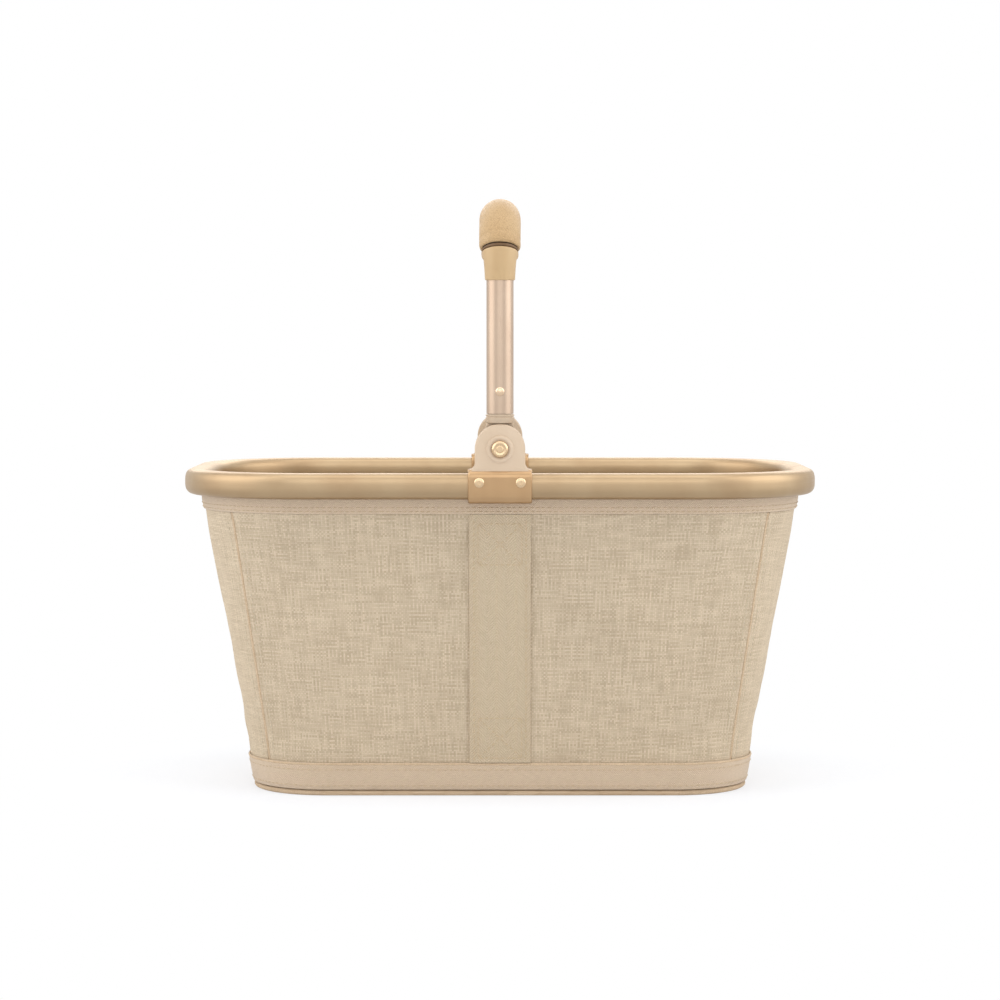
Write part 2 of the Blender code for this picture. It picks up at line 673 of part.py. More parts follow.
def add_grip():
    """Foam core and cover over the crossbar and the upper bends, and a stepped collar under each end."""
    step = HANDLE_BEND * math.pi / 2 / BEND_STEPS
    runs = [step * i for i in range(BEND_STEPS - GRIP_STEPS, BEND_STEPS + 1)]
    path = [(FRONT, run) for run in runs] + [(BACK, run) for run in reversed(runs)]
    core_radius = GRIP_RADIUS - GRIP_COVER_THICK - GAP
    bore = HANDLE_RADIUS + GAP
    core = [(*place, core_radius) for place in path] + [(*place, bore) for place in reversed(path)]
    add_mesh("grip_core", loft_on_bar(core), foam)
    outer = [(*place, GRIP_RADIUS) for place in path]
    outer[0] = (*path[0], GRIP_END_RADIUS)
    outer[-1] = (*path[-1], GRIP_END_RADIUS)
    inner = [(*place, core_radius + GAP) for place in reversed(path)]
    add_mesh("grip_cover", loft_on_bar(outer + inner), tan_leather)
    start = runs[0]
    high = start - GAP * HANDLE_BEND / (HANDLE_BEND - GRIP_RADIUS)
    middle_radius = (COLLAR_RADIUS + COLLAR_TIP_RADIUS) / 2
    for side in (FRONT, BACK):
        outside = [
            (start - COLLAR_LONG, COLLAR_TIP_RADIUS),
            (0.0, (middle_radius + COLLAR_TIP_RADIUS) / 2),
            (start - step * 1.5, middle_radius),
            (start - step * 0.6, COLLAR_RADIUS),
            (start - step * 0.5, COLLAR_NECK_RADIUS),
            (high, COLLAR_NECK_RADIUS),
        ]
        inside = [(run, bore) for run in (high, start - step, start - step * 2, 0.0, start - COLLAR_LONG)]
        sleeve = loft_on_bar([(side, *place) for place in outside + inside])
        add_mesh(f"grip_collar_{SIDE_NAME[side]}", sleeve, tan_plastic)


def add_handle():
    tube = handle_bar([circle(HANDLE_RADIUS), circle(HANDLE_RADIUS - HANDLE_WALL)])
    handle = add_mesh("handle_tube", tube, gold)
    rivet = RIVET_RADIUS + GAP
    holes = []
    for side in (FRONT, BACK):
        add_foot(side)
        holes.append(turned(
            [(0, TUBE_WIDE), (rivet, TUBE_WIDE), (rivet, -TUBE_WIDE), (0, -TUBE_WIDE)],
            plane_at((0, side * RIM_HALF_Y, TUBE_START_Z + RIVET_RISE), -X, Z),
        ))
    cut(handle, joined(holes))
    add_grip()


# Fabric tub


def outline_at(z, outward=0.0):
    """The tub wall's outer outline at a height, as points that match from one height to the next."""
    share = (z - WALL_BOTTOM_Z) / (WALL_TOP_Z - WALL_BOTTOM_Z)
    top_x, top_y = RIM_HALF_X - WALL_TOP_INSET, RIM_HALF_Y - WALL_TOP_INSET
    half_x = BASE_LENGTH / 2 + (top_x - BASE_LENGTH / 2) * share + outward
    half_y = BASE_WIDTH / 2 + (top_y - BASE_WIDTH / 2) * share + outward
    radius = BASE_CORNER + (RIM_BEND - WALL_TOP_INSET - BASE_CORNER) * share + outward
    return [Vector((px, py, z)) for px, py in rounded_rectangle(half_x, half_y, radius)]


def skin(name, rows, thick, made_of, cyclic=False):
    """A sheet bridged between rows of points and thickened inwards."""
    bm = bmesh.new()
    loops = []
    for row in rows:
        verts = [bm.verts.new(p) for p in row]
        pairs = zip(verts, verts[1:] + (verts[:1] if cyclic else []))
        loops.append([bm.edges.new(pair) for pair in pairs])
    for lower, upper in zip(loops, loops[1:]):
        bmesh.ops.bridge_loops(bm, edges=lower + upper)
    bmesh.ops.recalc_face_normals(bm, faces=bm.faces)
    face = max(bm.faces, key=lambda f: f.calc_center_median().length)
    centre = face.calc_center_median()
    if face.normal.dot(Vector((centre.x, centre.y, 0))) < 0:
        bmesh.ops.reverse_faces(bm, faces=bm.faces)
    mesh = bpy.data.meshes.new(name)
    bm.to_mesh(mesh)
    bm.free()
    obj = add_mesh(name, mesh, made_of)
    solid = obj.modifiers.new("thickness", "SOLIDIFY")
    solid.thickness = thick
    solid.offset = -1.0
    solid.use_even_offset = True
    return obj


def seam_points():
    """Places of the four corner seams in an outline, and how far a panel keeps from them."""
    count = len(outline_at(WALL_TOP_Z))
    corner = ARC_STEPS // 2 + 1
    half = count // 2
    return [corner, half - corner, half + corner, count - corner]


def panel_rows(first, last, heights, outward=0.0):
    """Rows of an outline from one place to another, drawn back at both ends to leave room for the seam's cord."""
    rows = []
    for z in heights:
        outline = outline_at(z, outward)
        count = len(outline)
        row = [outline[i % count].copy() for i in range(first, last + 1)]
        back = WELT_RADIUS + GAP + CLOTH_THICK * math.tan(math.pi / 4 / ARC_STEPS)
        row[0] += (row[1] - row[0]).normalized() * back
        row[-1] += (row[-2] - row[-1]).normalized() * back
        rows.append(row)
    return rows


def add_walls():
    seams = seam_points()
    count = len(outline_at(WALL_TOP_Z))
    heights = (WALL_BOTTOM_Z, WALL_TOP_Z)
    spans = {
        "wall_right": (seams[0], seams[1]),
        "wall_back": (seams[1], seams[2]),
        "wall_left": (seams[2], seams[3]),
        "wall_front": (seams[3], seams[0] + count),
    }
    for name, (first, last) in spans.items():
        skin(name, panel_rows(first, last, heights), CLOTH_THICK, beige_cloth)
    for place, name in zip(seams, ("front_right", "back_right", "back_left", "front_left")):
        low, high = outline_at(WALL_BOTTOM_Z)[place], outline_at(WALL_TOP_Z)[place]
        corner = Vector((math.copysign(1, low.x), math.copysign(1, low.y), 0))
        inward = corner.normalized() * (CLOTH_THICK / 2)
        low += (high - low).normalized() * 2 * GAP
        add_cord(f"seam_{name}", [low - inward, high - inward], WELT_RADIUS, beige_cloth)


def add_cord(name, points, radius, made_of, cyclic=False, resolution=1):
    """A thin round cord along points."""
    curve = bpy.data.curves.new(name, "CURVE")
    curve.dimensions = "3D"
    curve.bevel_depth = radius
    curve.bevel_resolution = resolution
    curve.use_fill_caps = not cyclic
    spline = curve.splines.new("POLY")
    spline.points.add(len(points) - 1)
    for point, co in zip(spline.points, points):
        point.co = (*co, 1.0)
    spline.use_cyclic_u = cyclic
    curve.materials.append(made_of)
    obj = bpy.data.objects.new(name, curve)
    basket.objects.link(obj)
    return obj


def add_straps():
    """Webbing from the base binding up to the hem, at the middle of each long wall."""
    bottom = BINDING_TOP_Z + GAP
    top = HEM_BOTTOM_Z - GAP
    clear = GAP * LEAN_STRETCH
    for side in (FRONT, BACK):
        low, high = outline_at(bottom)[0], outline_at(top)[0]
        low_y, high_y = side * (-low.y + clear), side * (-high.y + clear)
        bm = bmesh.new()
        corners = [
            (-STRAP_WIDE / 2, low_y, bottom), (STRAP_WIDE / 2, low_y, bottom),
            (STRAP_WIDE / 2, high_y, top), (-STRAP_WIDE / 2, high_y, top),
        ]
        face = bm.faces.new([bm.verts.new(c) for c in corners])
        bmesh.ops.recalc_face_normals(bm, faces=bm.faces)
        bm.normal_update()
        if face.normal.y * side < 0:
            bmesh.ops.reverse_faces(bm, faces=bm.faces)
        mesh = bpy.data.meshes.new("strap")
        bm.to_mesh(mesh)
        bm.free()
        strap = add_mesh(f"strap_{SIDE_NAME[side]}", mesh, tape_cloth)
        solid = strap.modifiers.new("thickness", "SOLIDIFY")
        solid.thickness = STRAP_THICK
        solid.offset = 1.0


def flat_sheet(name, half_x, half_y, radius, z, thick, made_of):
    """A level rounded rectangle with its underside at a height."""
    outline = rounded_rectangle(half_x, half_y, radius)
    return add_mesh(name, plate([outline], plane_at((0, 0, z), X, Y), thick), made_of)


def add_base():
    inset = PIPING_RADIUS + GAP
    half_x, half_y = BASE_LENGTH / 2 - CLOTH_THICK / 2, BASE_WIDTH / 2 - CLOTH_THICK / 2
    corner = BASE_CORNER - CLOTH_THICK / 2
    flat_sheet("base_panel", half_x - inset, half_y - inset, corner - inset, 0.0, CLOTH_THICK, beige_cloth)
    path = [(px, py, PIPING_RADIUS) for px, py in rounded_rectangle(half_x, half_y, corner)]
    add_cord("base_piping", path, PIPING_RADIUS, tan_cloth, cyclic=True, resolution=2)
    low = WALL_BOTTOM_Z + GAP
    outward = (GAP + BINDING_THICK) * LEAN_STRETCH
    rows = [outline_at(z, outward) for z in (low, BINDING_TOP_Z)]
    skin("base_binding", rows, BINDING_THICK, tape_cloth, cyclic=True)


# Base boards


def box(centre, size):
    bm = bmesh.new()
    bmesh.ops.create_cube(bm, size=1.0)
    bmesh.ops.scale(bm, vec=size, verts=bm.verts)
    bmesh.ops.translate(bm, vec=centre, verts=bm.verts)
    return mesh_of(bm, "box")


def board_half(end):
    """Outline of one board: a rounded rectangle's half, from its parting line outwards."""
    inner = BOARD_PARTING / 2
    outline = rounded_rectangle(BOARD_HALF_X, BOARD_HALF_Y, BOARD_CORNER)
    kept = [(px, py) for px, py in outline if px > inner]
    points = [(inner, -BOARD_HALF_Y)] + kept + [(inner, BOARD_HALF_Y)]
    return points if end == RIGHT else [(-px, py) for px, py in reversed(points)]


def add_boards():
    """Two stiff boards that fold up about the middle of the base, with pads and pull tabs."""
    pad_z = CLOTH_THICK + GAP + PAD_THICK / 2
    pad_x = BOARD_HALF_X - PAD_INSET
    for end in (LEFT, RIGHT):
        name = END_NAME[end]
        axis = bpy.data.objects.new(f"board_axis_{name}", None)
        basket.objects.link(axis)
        axis.location = (0, 0, BOARD_Z + BOARD_THICK)
        lift = plane_at((0, 0, -BOARD_THICK), X, Y)
        board = add_mesh(f"base_board_{name}", plate([board_half(end)], lift, BOARD_THICK), board_cloth)
        hook = box((end * pad_x, 0, -BOARD_THICK - GAP - PAD_THICK / 2), (PAD_WIDE, PAD_LONG, PAD_THICK))
        hooks = add_mesh(f"hook_pad_{name}", hook, dark_pad, smooth=False)
        tab_x = end * (BOARD_HALF_X - TAB_LONG / 2)
        tab = box((tab_x, 0, GAP + TAB_THICK / 2), (TAB_LONG, TAB_WIDE, TAB_THICK))
        tab_obj = add_mesh(f"pull_tab_{name}", tab, tape_cloth, smooth=False)
        for obj in (board, hooks, tab_obj):
            obj.parent = axis
        loop = box((end * pad_x, 0, pad_z), (PAD_WIDE, PAD_LONG, PAD_THICK))
        add_mesh(f"loop_pad_{name}", loop, dark_pad, smooth=False)
    tape_z = BOARD_Z - GAP - TAPE_THICK / 2
    support_high = tape_z - TAPE_THICK / 2 - CLOTH_THICK - GAP
    tape = box((0, 0, tape_z - support_high / 2), (TAPE_WIDE, 2 * BOARD_HALF_Y, TAPE_THICK + support_high))
    add_mesh("board_hinge_tape", tape, tape_cloth, smooth=False)


clear_scene()
basket = new_collection("collapsible_shopping_basket")
cutters = new_collection("cutters", hidden=True)

gold = material("rose_gold_aluminium", (0.80, 0.60, 0.44), 0.28, 1.0)
grey_metal = material("plain_aluminium", (0.72, 0.72, 0.73), 0.4, 1.0)
steel = material("pale_gold_steel", (0.78, 0.64, 0.48), 0.25, 1.0)
tan_plastic = material("tan_plastic", (0.62, 0.47, 0.32), 0.45)
washer_plastic = material("washer_plastic", (0.35, 0.33, 0.31), 0.5)
tan_leather = material("tan_leather", (0.64, 0.45, 0.27), 0.5)
foam = material("grip_foam", (0.12, 0.11, 0.10), 0.9)
beige_cloth = material("beige_cloth", (0.60, 0.50, 0.36), 0.85)
tape_cloth = material("beige_tape", (0.55, 0.45, 0.32), 0.8)
tan_cloth = material("tan_piping", (0.58, 0.42, 0.28), 0.8)
board_cloth = material("board_lining", (0.55, 0.46, 0.34), 0.85)
dark_pad = material("hook_and_loop", (0.30, 0.25, 0.20), 0.95)

add_rim()
drill_rim()
add_hem()
for joint_side in (FRONT, BACK):
    joint_place = add_joint(joint_side)
    add_screws(joint_side, joint_place)
    add_pivot(joint_side, joint_place)
add_handle()
add_walls()
add_straps()
add_base()
add_boards()
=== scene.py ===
"""Looks of a collapsible shopping basket: a cloth tub in a metal ring, with a folding handle."""

import math

import bmesh
import bpy
from mathutils import Matrix, Vector, noise
from mathutils.bvhtree import BVHTree


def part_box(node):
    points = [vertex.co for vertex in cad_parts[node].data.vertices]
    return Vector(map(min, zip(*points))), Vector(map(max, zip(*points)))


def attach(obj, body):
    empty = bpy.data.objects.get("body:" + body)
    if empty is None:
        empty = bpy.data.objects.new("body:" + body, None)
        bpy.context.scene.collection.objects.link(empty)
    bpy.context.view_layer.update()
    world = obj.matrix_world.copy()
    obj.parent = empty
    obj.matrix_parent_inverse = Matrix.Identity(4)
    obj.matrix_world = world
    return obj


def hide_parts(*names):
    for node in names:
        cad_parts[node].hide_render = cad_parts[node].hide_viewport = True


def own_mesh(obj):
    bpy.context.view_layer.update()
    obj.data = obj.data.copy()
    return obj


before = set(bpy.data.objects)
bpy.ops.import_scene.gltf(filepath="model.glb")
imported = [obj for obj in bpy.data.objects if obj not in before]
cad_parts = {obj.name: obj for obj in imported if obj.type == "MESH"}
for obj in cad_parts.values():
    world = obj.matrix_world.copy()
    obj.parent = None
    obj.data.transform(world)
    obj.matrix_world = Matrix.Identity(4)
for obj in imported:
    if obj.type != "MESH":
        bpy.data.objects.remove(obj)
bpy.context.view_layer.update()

X, Y, Z = Vector((1, 0, 0)), Vector((0, 1, 0)), Vector((0, 0, 1))
FRONT, BACK = -1, 1
LEFT, RIGHT = -1, 1
SIDE_NAME = {FRONT: "front", BACK: "back"}
END_NAME = {LEFT: "left", RIGHT: "right"}

# Ring tube and its groove, in metres
GAP = 0.0003
TUBE_WIDE = 0.018
TUBE_HIGH = 0.019
TUBE_SQUARENESS = 3.0
GROOVE_INSET = 0.0040    # from the tube's middle towards the inside of the ring
GROOVE_RADIUS = 0.0024
GROOVE_MOUTH = 0.0022
GROOVE_Z = -TUBE_HIGH / 2 + 0.0015 + GROOVE_RADIUS
RING_LOW, RING_HIGH = (Vector(corner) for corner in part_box("rim_left"))
RIM_Z = RING_HIGH.z - TUBE_HIGH / 2
RIM_HALF_X = -RING_LOW.x - TUBE_WIDE / 2
RIM_HALF_Y = RING_HIGH.y - TUBE_WIDE / 2
RIM_BEND = 0.089
HALVES_GAP = 0.0010

# Cloth tub
CLOTH_THICK = 0.0024
BASE_HALF_X = 0.185
BASE_HALF_Y = 0.100
BASE_CORNER = 0.056
PIPING_RADIUS = 0.0020
WELT_RADIUS = 0.0012
SEAM_TAPE_THICK = 0.0007
WALL_BOTTOM_Z, WALL_TOP_Z = (corner[2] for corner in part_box("wall_front"))
WALL_HIGH = WALL_TOP_Z - WALL_BOTTOM_Z
WALL_TOP_INSET = 0.0049
TOP_HALF_X = RIM_HALF_X - WALL_TOP_INSET
TOP_HALF_Y = RIM_HALF_Y - WALL_TOP_INSET
TOP_CORNER = RIM_BEND - WALL_TOP_INSET
HEM_THICK = 0.0012
HEM_BOTTOM_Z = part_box("rim_hem")[0][2]
BINDING_THICK = 0.0012
BINDING_TOP_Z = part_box("base_binding")[1][2]
STRAP_WIDE = 0.045
STRAP_THICK = 0.0016
SLOPE = (TOP_HALF_X - BASE_HALF_X) / WALL_HIGH
LEAN_STRETCH = math.hypot(1, SLOPE)

# Handle and its joints
PIVOT_RISE = 0.0272
PIVOT_Z = RIM_Z + PIVOT_RISE
HANDLE_RADIUS = 0.0098
HANDLE_WALL = 0.0015
HANDLE_BEND = 0.036
CROSSBAR_Z = RIM_Z + 0.1935
TUBE_START_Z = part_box("handle_tube")[0][2]
EAR_RADIUS = 0.0182
EAR_THICK = 0.0040
EAR_INNER = 0.0054      # from the middle of the joint to the inside of an ear
COVER_WALL = 0.0024
COVER_LONG = 0.046
BEND_STEP = math.pi / 2 / 12
GRIP_START = BEND_STEP * 3
COLLAR_LONG = 0.023
GRIP_RADIUS = 0.0150
GRIP_END_RADIUS = 0.0136

# Base boards
BOARD_START_X, _, BOARD_LOW_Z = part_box("base_board_right")[0]
BOARD_HALF_X, BOARD_HALF_Y, BOARD_HIGH_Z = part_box("base_board_right")[1]
BOARD_CORNER = 0.046

# Sewing
STITCH_PITCH = 0.0042
STITCH_LONG = 0.0033
THREAD_RADIUS = 0.00030
WEAVE = 0.0014


# Materials


def linear(screen):
    """Linear colour of three screen values from 0 to 255."""
    parts = []
    for value in screen:
        value /= 255
        parts.append(value / 12.92 if value <= 0.04045 else ((value + 0.055) / 1.055) ** 2.4)
    return (*parts, 1.0)


class Wiring:
    """Short ways to add nodes to one shader tree, with their inputs linked or set."""

    def __init__(self, tree):
        self.tree = tree

    def feed(self, made, inputs):
        """Links or sets inputs of a node."""
        for socket, value in inputs.items():
            if isinstance(value, bpy.types.NodeSocket):
                self.tree.links.new(value, made.inputs[socket])
            else:
                made.inputs[socket].default_value = value

    def node(self, kind, inputs=(), **settings):
        """A node of a kind."""
        made = self.tree.nodes.new("ShaderNode" + kind)
        for name, value in settings.items():
            setattr(made, name, value)
        self.feed(made, dict(inputs))
        return made

    def maths(self, operation, a, b=0.0, c=0.0):
        """Output of a maths node."""
        return self.node("Math", {0: a, 1: b, 2: c}, operation=operation).outputs[0]

    def plus(self, a, b):
        """Output of a sum."""
        return self.maths("ADD", a, b)

    def times(self, a, b):
        """Output of a product."""
        return self.maths("MULTIPLY", a, b)

    def vectors(self, operation, inputs):
        """A vector maths node."""
        return self.node("VectorMath", inputs, operation=operation)

    def blended(self, share, a, b):
        """Output of a colour mix of a and b."""
        return self.node("Mix", {0: share, 6: a, 7: b}, data_type="RGBA").outputs[2]

    def chosen(self, share, a, b):
        """Output of a mix of two values."""
        return self.node("Mix", {0: share, 2: a, 3: b}).outputs[0]

    def ranged(self, value, low, high, to_low=0.0, to_high=1.0):
        """Output of a value carried from one range to another."""
        ends = {"From Min": low, "From Max": high, "To Min": to_low, "To Max": to_high}
        return self.node("MapRange", {"Value": value, **ends}).outputs[0]

    def stretched(self, place, scale):
        """Output of a pattern's place, stretched by a scale for each direction."""
        return self.node("Mapping", {"Vector": place, "Scale": scale}).outputs[0]

    def speckle(self, place, scale, detail=2.0, roughness=0.5):
        """Output of a noise pattern."""
        inputs = {"Vector": place, "Scale": scale, "Detail": detail, "Roughness": roughness}
        return self.node("TexNoise", inputs).outputs["Fac"]

    def drift(self, place, scale):
        """Output of a noise that differs in each direction."""
        inputs = {"Vector": place, "Scale": scale, "Detail": 2.0}
        return self.node("TexNoise", inputs).outputs["Color"]

    def cells(self, place, scale, **settings):
        """Output of a cell pattern."""
        return self.node("TexVoronoi", {"Vector": place, "Scale": scale}, **settings).outputs[0]

    def cell_edges(self, place, scale):
        """Output of the distance from a cell's edge."""
        return self.cells(place, scale, feature="DISTANCE_TO_EDGE")


class Finish(Wiring):
    """A material while it is made: its plain values are set, and the nodes follow."""

    def __init__(self, name, colour, roughness, metallic=0.0, specular=0.5):
        self.material = bpy.data.materials.new(name)
        self.material.use_nodes = True
        super().__init__(self.material.node_tree)
        self.shader = self.tree.nodes["Principled BSDF"]
        self.set({
            "Base Color": colour, "Roughness": roughness, "Metallic": metallic,
            "Specular IOR Level": specular,
        })

    def set(self, values):
        """Links or sets inputs of the shader."""
        self.feed(self.shader, values)

    def done(self, tone, rough, height, depth):
        """Wires tone, roughness and a relief of a real depth to the shader; gives the material."""
        self.set({"Base Color": tone, "Roughness": rough})
        bump = self.node("Bump", {"Height": height, "Distance": depth, "Strength": 1.0})
        self.set({"Normal": bump.outputs[0]})
        return self.material


def metal_finish(name, colour, darker, roughness, along_uv=False):
    """Anodised or plated metal: fine drawn lines, a cloudy tone and small scratches."""
    colour, darker = linear(colour), linear(darker)
    finish = Finish(name, colour, roughness, metallic=1.0)
    places = finish.node("TexCoord")
    solid = places.outputs["Object"]
    drawn, stretch = solid, (2400, 2400, 60)
    if along_uv:
        drawn, stretch = places.outputs["UV"], (9, 2600, 1)
    lines = finish.speckle(finish.stretched(drawn, stretch), 1.0, 3.0, 0.6)
    cloud = finish.speckle(solid, 22.0, 3.0, 0.55)
    scratches = finish.cell_edges(finish.stretched(solid, (900, 260, 700)), 0.12)
    worn = finish.ranged(scratches, 0.0, 0.012, 1.0, 0.0)
    worn = finish.times(worn, finish.ranged(finish.speckle(solid, 60.0), 0.55, 0.7, 0.0, 0.35))
    tone = finish.blended(finish.ranged(cloud, 0.35, 0.65), colour, darker)
    rough = finish.ranged(lines, 0.3, 0.7, roughness - 0.05, roughness + 0.06)
    rough = finish.plus(rough, finish.times(worn, 0.18))
    rough = finish.plus(rough, finish.ranged(cloud, 0.3, 0.7, -0.02, 0.03))
    height = finish.maths("SUBTRACT", lines, finish.times(worn, 0.8))
    return finish.done(tone, rough, height, 0.000012)


def moulded_finish(name, colour, darker, roughness, grain=0.00003, metallic=0.0):
    """Moulded plastic, bare or lacquered: an eroded grain, flow marks, and paler rubbed corners."""
    colour, darker = linear(colour), linear(darker)
    rubbed = tuple(min(1.0, channel * 1.22 + 0.03) for channel in colour[:3]) + (1.0,)
    finish = Finish(name, colour, roughness, metallic=metallic)
    solid = finish.node("TexCoord").outputs["Object"]
    fine = finish.speckle(solid, 2600.0, 3.0, 0.6)
    flow = finish.speckle(finish.stretched(solid, (26, 26, 9)), 1.0, 3.0, 0.6)
    tone = finish.blended(finish.ranged(flow, 0.35, 0.65), colour, darker)
    bevel = finish.node("Bevel", {"Radius": 0.0011}, samples=4).outputs[0]
    flat = finish.node("NewGeometry").outputs["Normal"]
    bend = finish.vectors("DOT_PRODUCT", {0: bevel, 1: flat}).outputs["Value"]
    corner = finish.times(finish.ranged(bend, 0.96, 0.78), finish.ranged(fine, 0.4, 0.6, 0.3, 1.0))
    tone = finish.blended(finish.times(corner, 0.45), tone, rubbed)
    rough = finish.ranged(fine, 0.3, 0.7, roughness - 0.05, roughness + 0.05)
    rough = finish.plus(rough, finish.times(corner, -0.08))
    return finish.done(tone, rough, fine, grain)


def plain_weave(finish, place, pitch):
    """Height of a plain weave, and the random tone of the thread that is on top."""
    wander = finish.vectors("SUBTRACT", {0: finish.drift(place, 210.0), 1: (0.5, 0.5, 0.5)})
    wander = finish.vectors("SCALE", {0: wander.outputs[0], "Scale": pitch * 0.55})
    moved = finish.vectors("ADD", {0: place, 1: wander.outputs[0]})
    parts = finish.node("SeparateXYZ", {0: moved.outputs[0]})
    across = finish.maths("DIVIDE", parts.outputs[0], pitch)
    along = finish.maths("DIVIDE", parts.outputs[1], pitch)
    column, row = finish.maths("FLOOR", across), finish.maths("FLOOR", along)
    bow_u = finish.maths("SINE", finish.times(finish.maths("FRACT", across), math.pi))
    bow_v = finish.maths("SINE", finish.times(finish.maths("FRACT", along), math.pi))
    warp = finish.times(bow_u, finish.maths("MULTIPLY_ADD", bow_v, 0.45, 0.55))
    weft = finish.times(bow_v, finish.maths("MULTIPLY_ADD", bow_u, 0.45, 0.55))
    on_top = finish.maths("FLOORED_MODULO", finish.plus(column, row), 2.0)
    height = finish.chosen(on_top, weft, warp)
    warp_at = finish.node("CombineXYZ", {
        0: finish.times(column, 5.31), 1: finish.times(along, 0.06),
    })
    weft_at = finish.node("CombineXYZ", {
        0: finish.times(across, 0.06), 1: finish.times(row, 7.73),
    })
    warp_tone, weft_tone = (finish.speckle(at.outputs[0], 1.0, 1.0) for at in (warp_at, weft_at))
    return height, finish.chosen(on_top, weft_tone, warp_tone)


def woven_finish(name, colour, pale, dark, pitch=WEAVE, relief=0.00022, sheen=0.25, slub=0.5):
    """Sewn cloth: a plain weave in the piece's map, pale and dark yarns, painted shade in the
    weave's hollows, and a faint cloudy tone.
    """
    colour, pale, dark = linear(colour), linear(pale), linear(dark)
    finish = Finish(name, colour, 0.86, specular=0.25)
    places = finish.node("TexCoord")
    height, thread = plain_weave(finish, places.outputs["UV"], pitch)
    fibre = finish.speckle(places.outputs["UV"], 5200.0, 2.0, 0.7)
    cloud = finish.speckle(places.outputs["Object"], 14.0, 3.0, 0.5)
    tone = finish.blended(finish.ranged(thread, 0.35, 0.65), dark, pale)
    tone = finish.blended(1.0 - slub, tone, colour)
    # painted shade: the weave's low hollows are mixed towards the dark yarn colour
    hollow_shade = finish.blended(finish.ranged(height, 0.0, 0.55, 0.42, 0.0), tone, dark)
    lightness = finish.ranged(cloud, 0.3, 0.7, 0.965, 1.035)
    mottled = finish.node("HueSaturation", {"Color": hollow_shade, "Value": lightness}).outputs[0]
    rough = finish.ranged(height, 0.0, 1.0, 0.95, 0.80)
    finish.set({"Sheen Weight": sheen, "Sheen Roughness": 0.45, "Sheen Tint": pale})
    return finish.done(mottled, rough, finish.maths("MULTIPLY_ADD", fibre, 0.25, height), relief)


def tape_finish(name, colour, pale, dark, rib=0.0016, relief=0.00025):
    """Woven tape: slanting herringbone ribs with uneven yarns, and painted shade between the ribs.
    """
    colour, pale, dark = linear(colour), linear(pale), linear(dark)
    finish = Finish(name, colour, 0.8, specular=0.3)
    cloth = finish.node("TexCoord").outputs["UV"]
    parts = finish.node("SeparateXYZ", {0: cloth})
    fold = finish.maths("PINGPONG", parts.outputs[1], rib * 3.2)
    slant = finish.plus(parts.outputs[0], fold)
    ridge = finish.maths("SINE", finish.times(slant, 2 * math.pi / rib))
    ridge = finish.ranged(ridge, -1.0, 1.0)
    yarn = finish.speckle(finish.stretched(cloth, (260, 2400, 1)), 1.0, 2.0, 0.6)
    fibre = finish.speckle(cloth, 4600.0, 2.0, 0.7)
    tone = finish.blended(finish.ranged(yarn, 0.3, 0.7, 0.15, 0.85), dark, pale)
    tone = finish.blended(0.45, tone, colour)
    # painted shade: the valleys between the ribs are mixed towards the dark colour
    tone = finish.blended(finish.ranged(ridge, 0.0, 0.5, 0.35, 0.0), tone, dark)
    rough = finish.ranged(ridge, 0.0, 1.0, 0.9, 0.72)
    finish.set({"Sheen Weight": 0.2, "Sheen Roughness": 0.5})
    return finish.done(tone, rough, finish.maths("MULTIPLY_ADD", fibre, 0.25, ridge), relief)


def leather_finish(name, colour, dark, pale):
    """Soft grained leather: pebbles with creases painted darker as shade, a cloudy tone and a waxed
    top.
    """
    colour, dark, pale = linear(colour), linear(dark), linear(pale)
    finish = Finish(name, colour, 0.5, specular=0.4)
    solid = finish.node("TexCoord").outputs["Object"]
    shift = finish.vectors("SCALE", {0: finish.drift(solid, 420.0), "Scale": 0.0007})
    moved = finish.vectors("ADD", {0: solid, 1: shift.outputs[0]}).outputs[0]
    pebbles = finish.cell_edges(moved, 900.0)
    small = finish.cell_edges(moved, 2300.0)
    crease = finish.ranged(pebbles, 0.0, 0.16)
    grain = finish.maths("MULTIPLY_ADD", finish.ranged(small, 0.0, 0.2), 0.35, crease)
    cloud = finish.speckle(solid, 45.0, 3.0, 0.55)
    tone = finish.blended(finish.ranged(cloud, 0.3, 0.7), colour, pale)
    # painted shade: the creases between the pebbles are mixed towards the dark colour
    tone = finish.blended(finish.ranged(crease, 0.0, 1.0, 0.55, 0.0), tone, dark)
    rough = finish.ranged(grain, 0.0, 1.3, 0.66, 0.44)
    rough = finish.plus(rough, finish.ranged(cloud, 0.3, 0.7, -0.04, 0.04))
    finish.set({"Coat Weight": 0.12, "Coat Roughness": 0.35})
    return finish.done(tone, rough, grain, 0.00010)


def thread_finish(name, colour, dark):
    """Sewing thread: twisted plies, painted darker as shade in the grooves between them, with a
    waxed shine.
    """
    colour, dark = linear(colour), linear(dark)
    finish = Finish(name, colour, 0.55, specular=0.4)
    solid = finish.node("TexCoord").outputs["Object"]
    plies = {"Vector": solid, "Scale": 640.0, "Distortion": 1.2}
    twist = finish.node("TexWave", plies, bands_direction="DIAGONAL").outputs["Fac"]
    # painted shade: the grooves of the twist are mixed towards the dark colour
    tone = finish.blended(finish.ranged(twist, 0.0, 1.0, 0.5, 0.0), colour, dark)
    return finish.done(tone, finish.ranged(twist, 0.0, 1.0, 0.7, 0.5), twist, 0.00006)


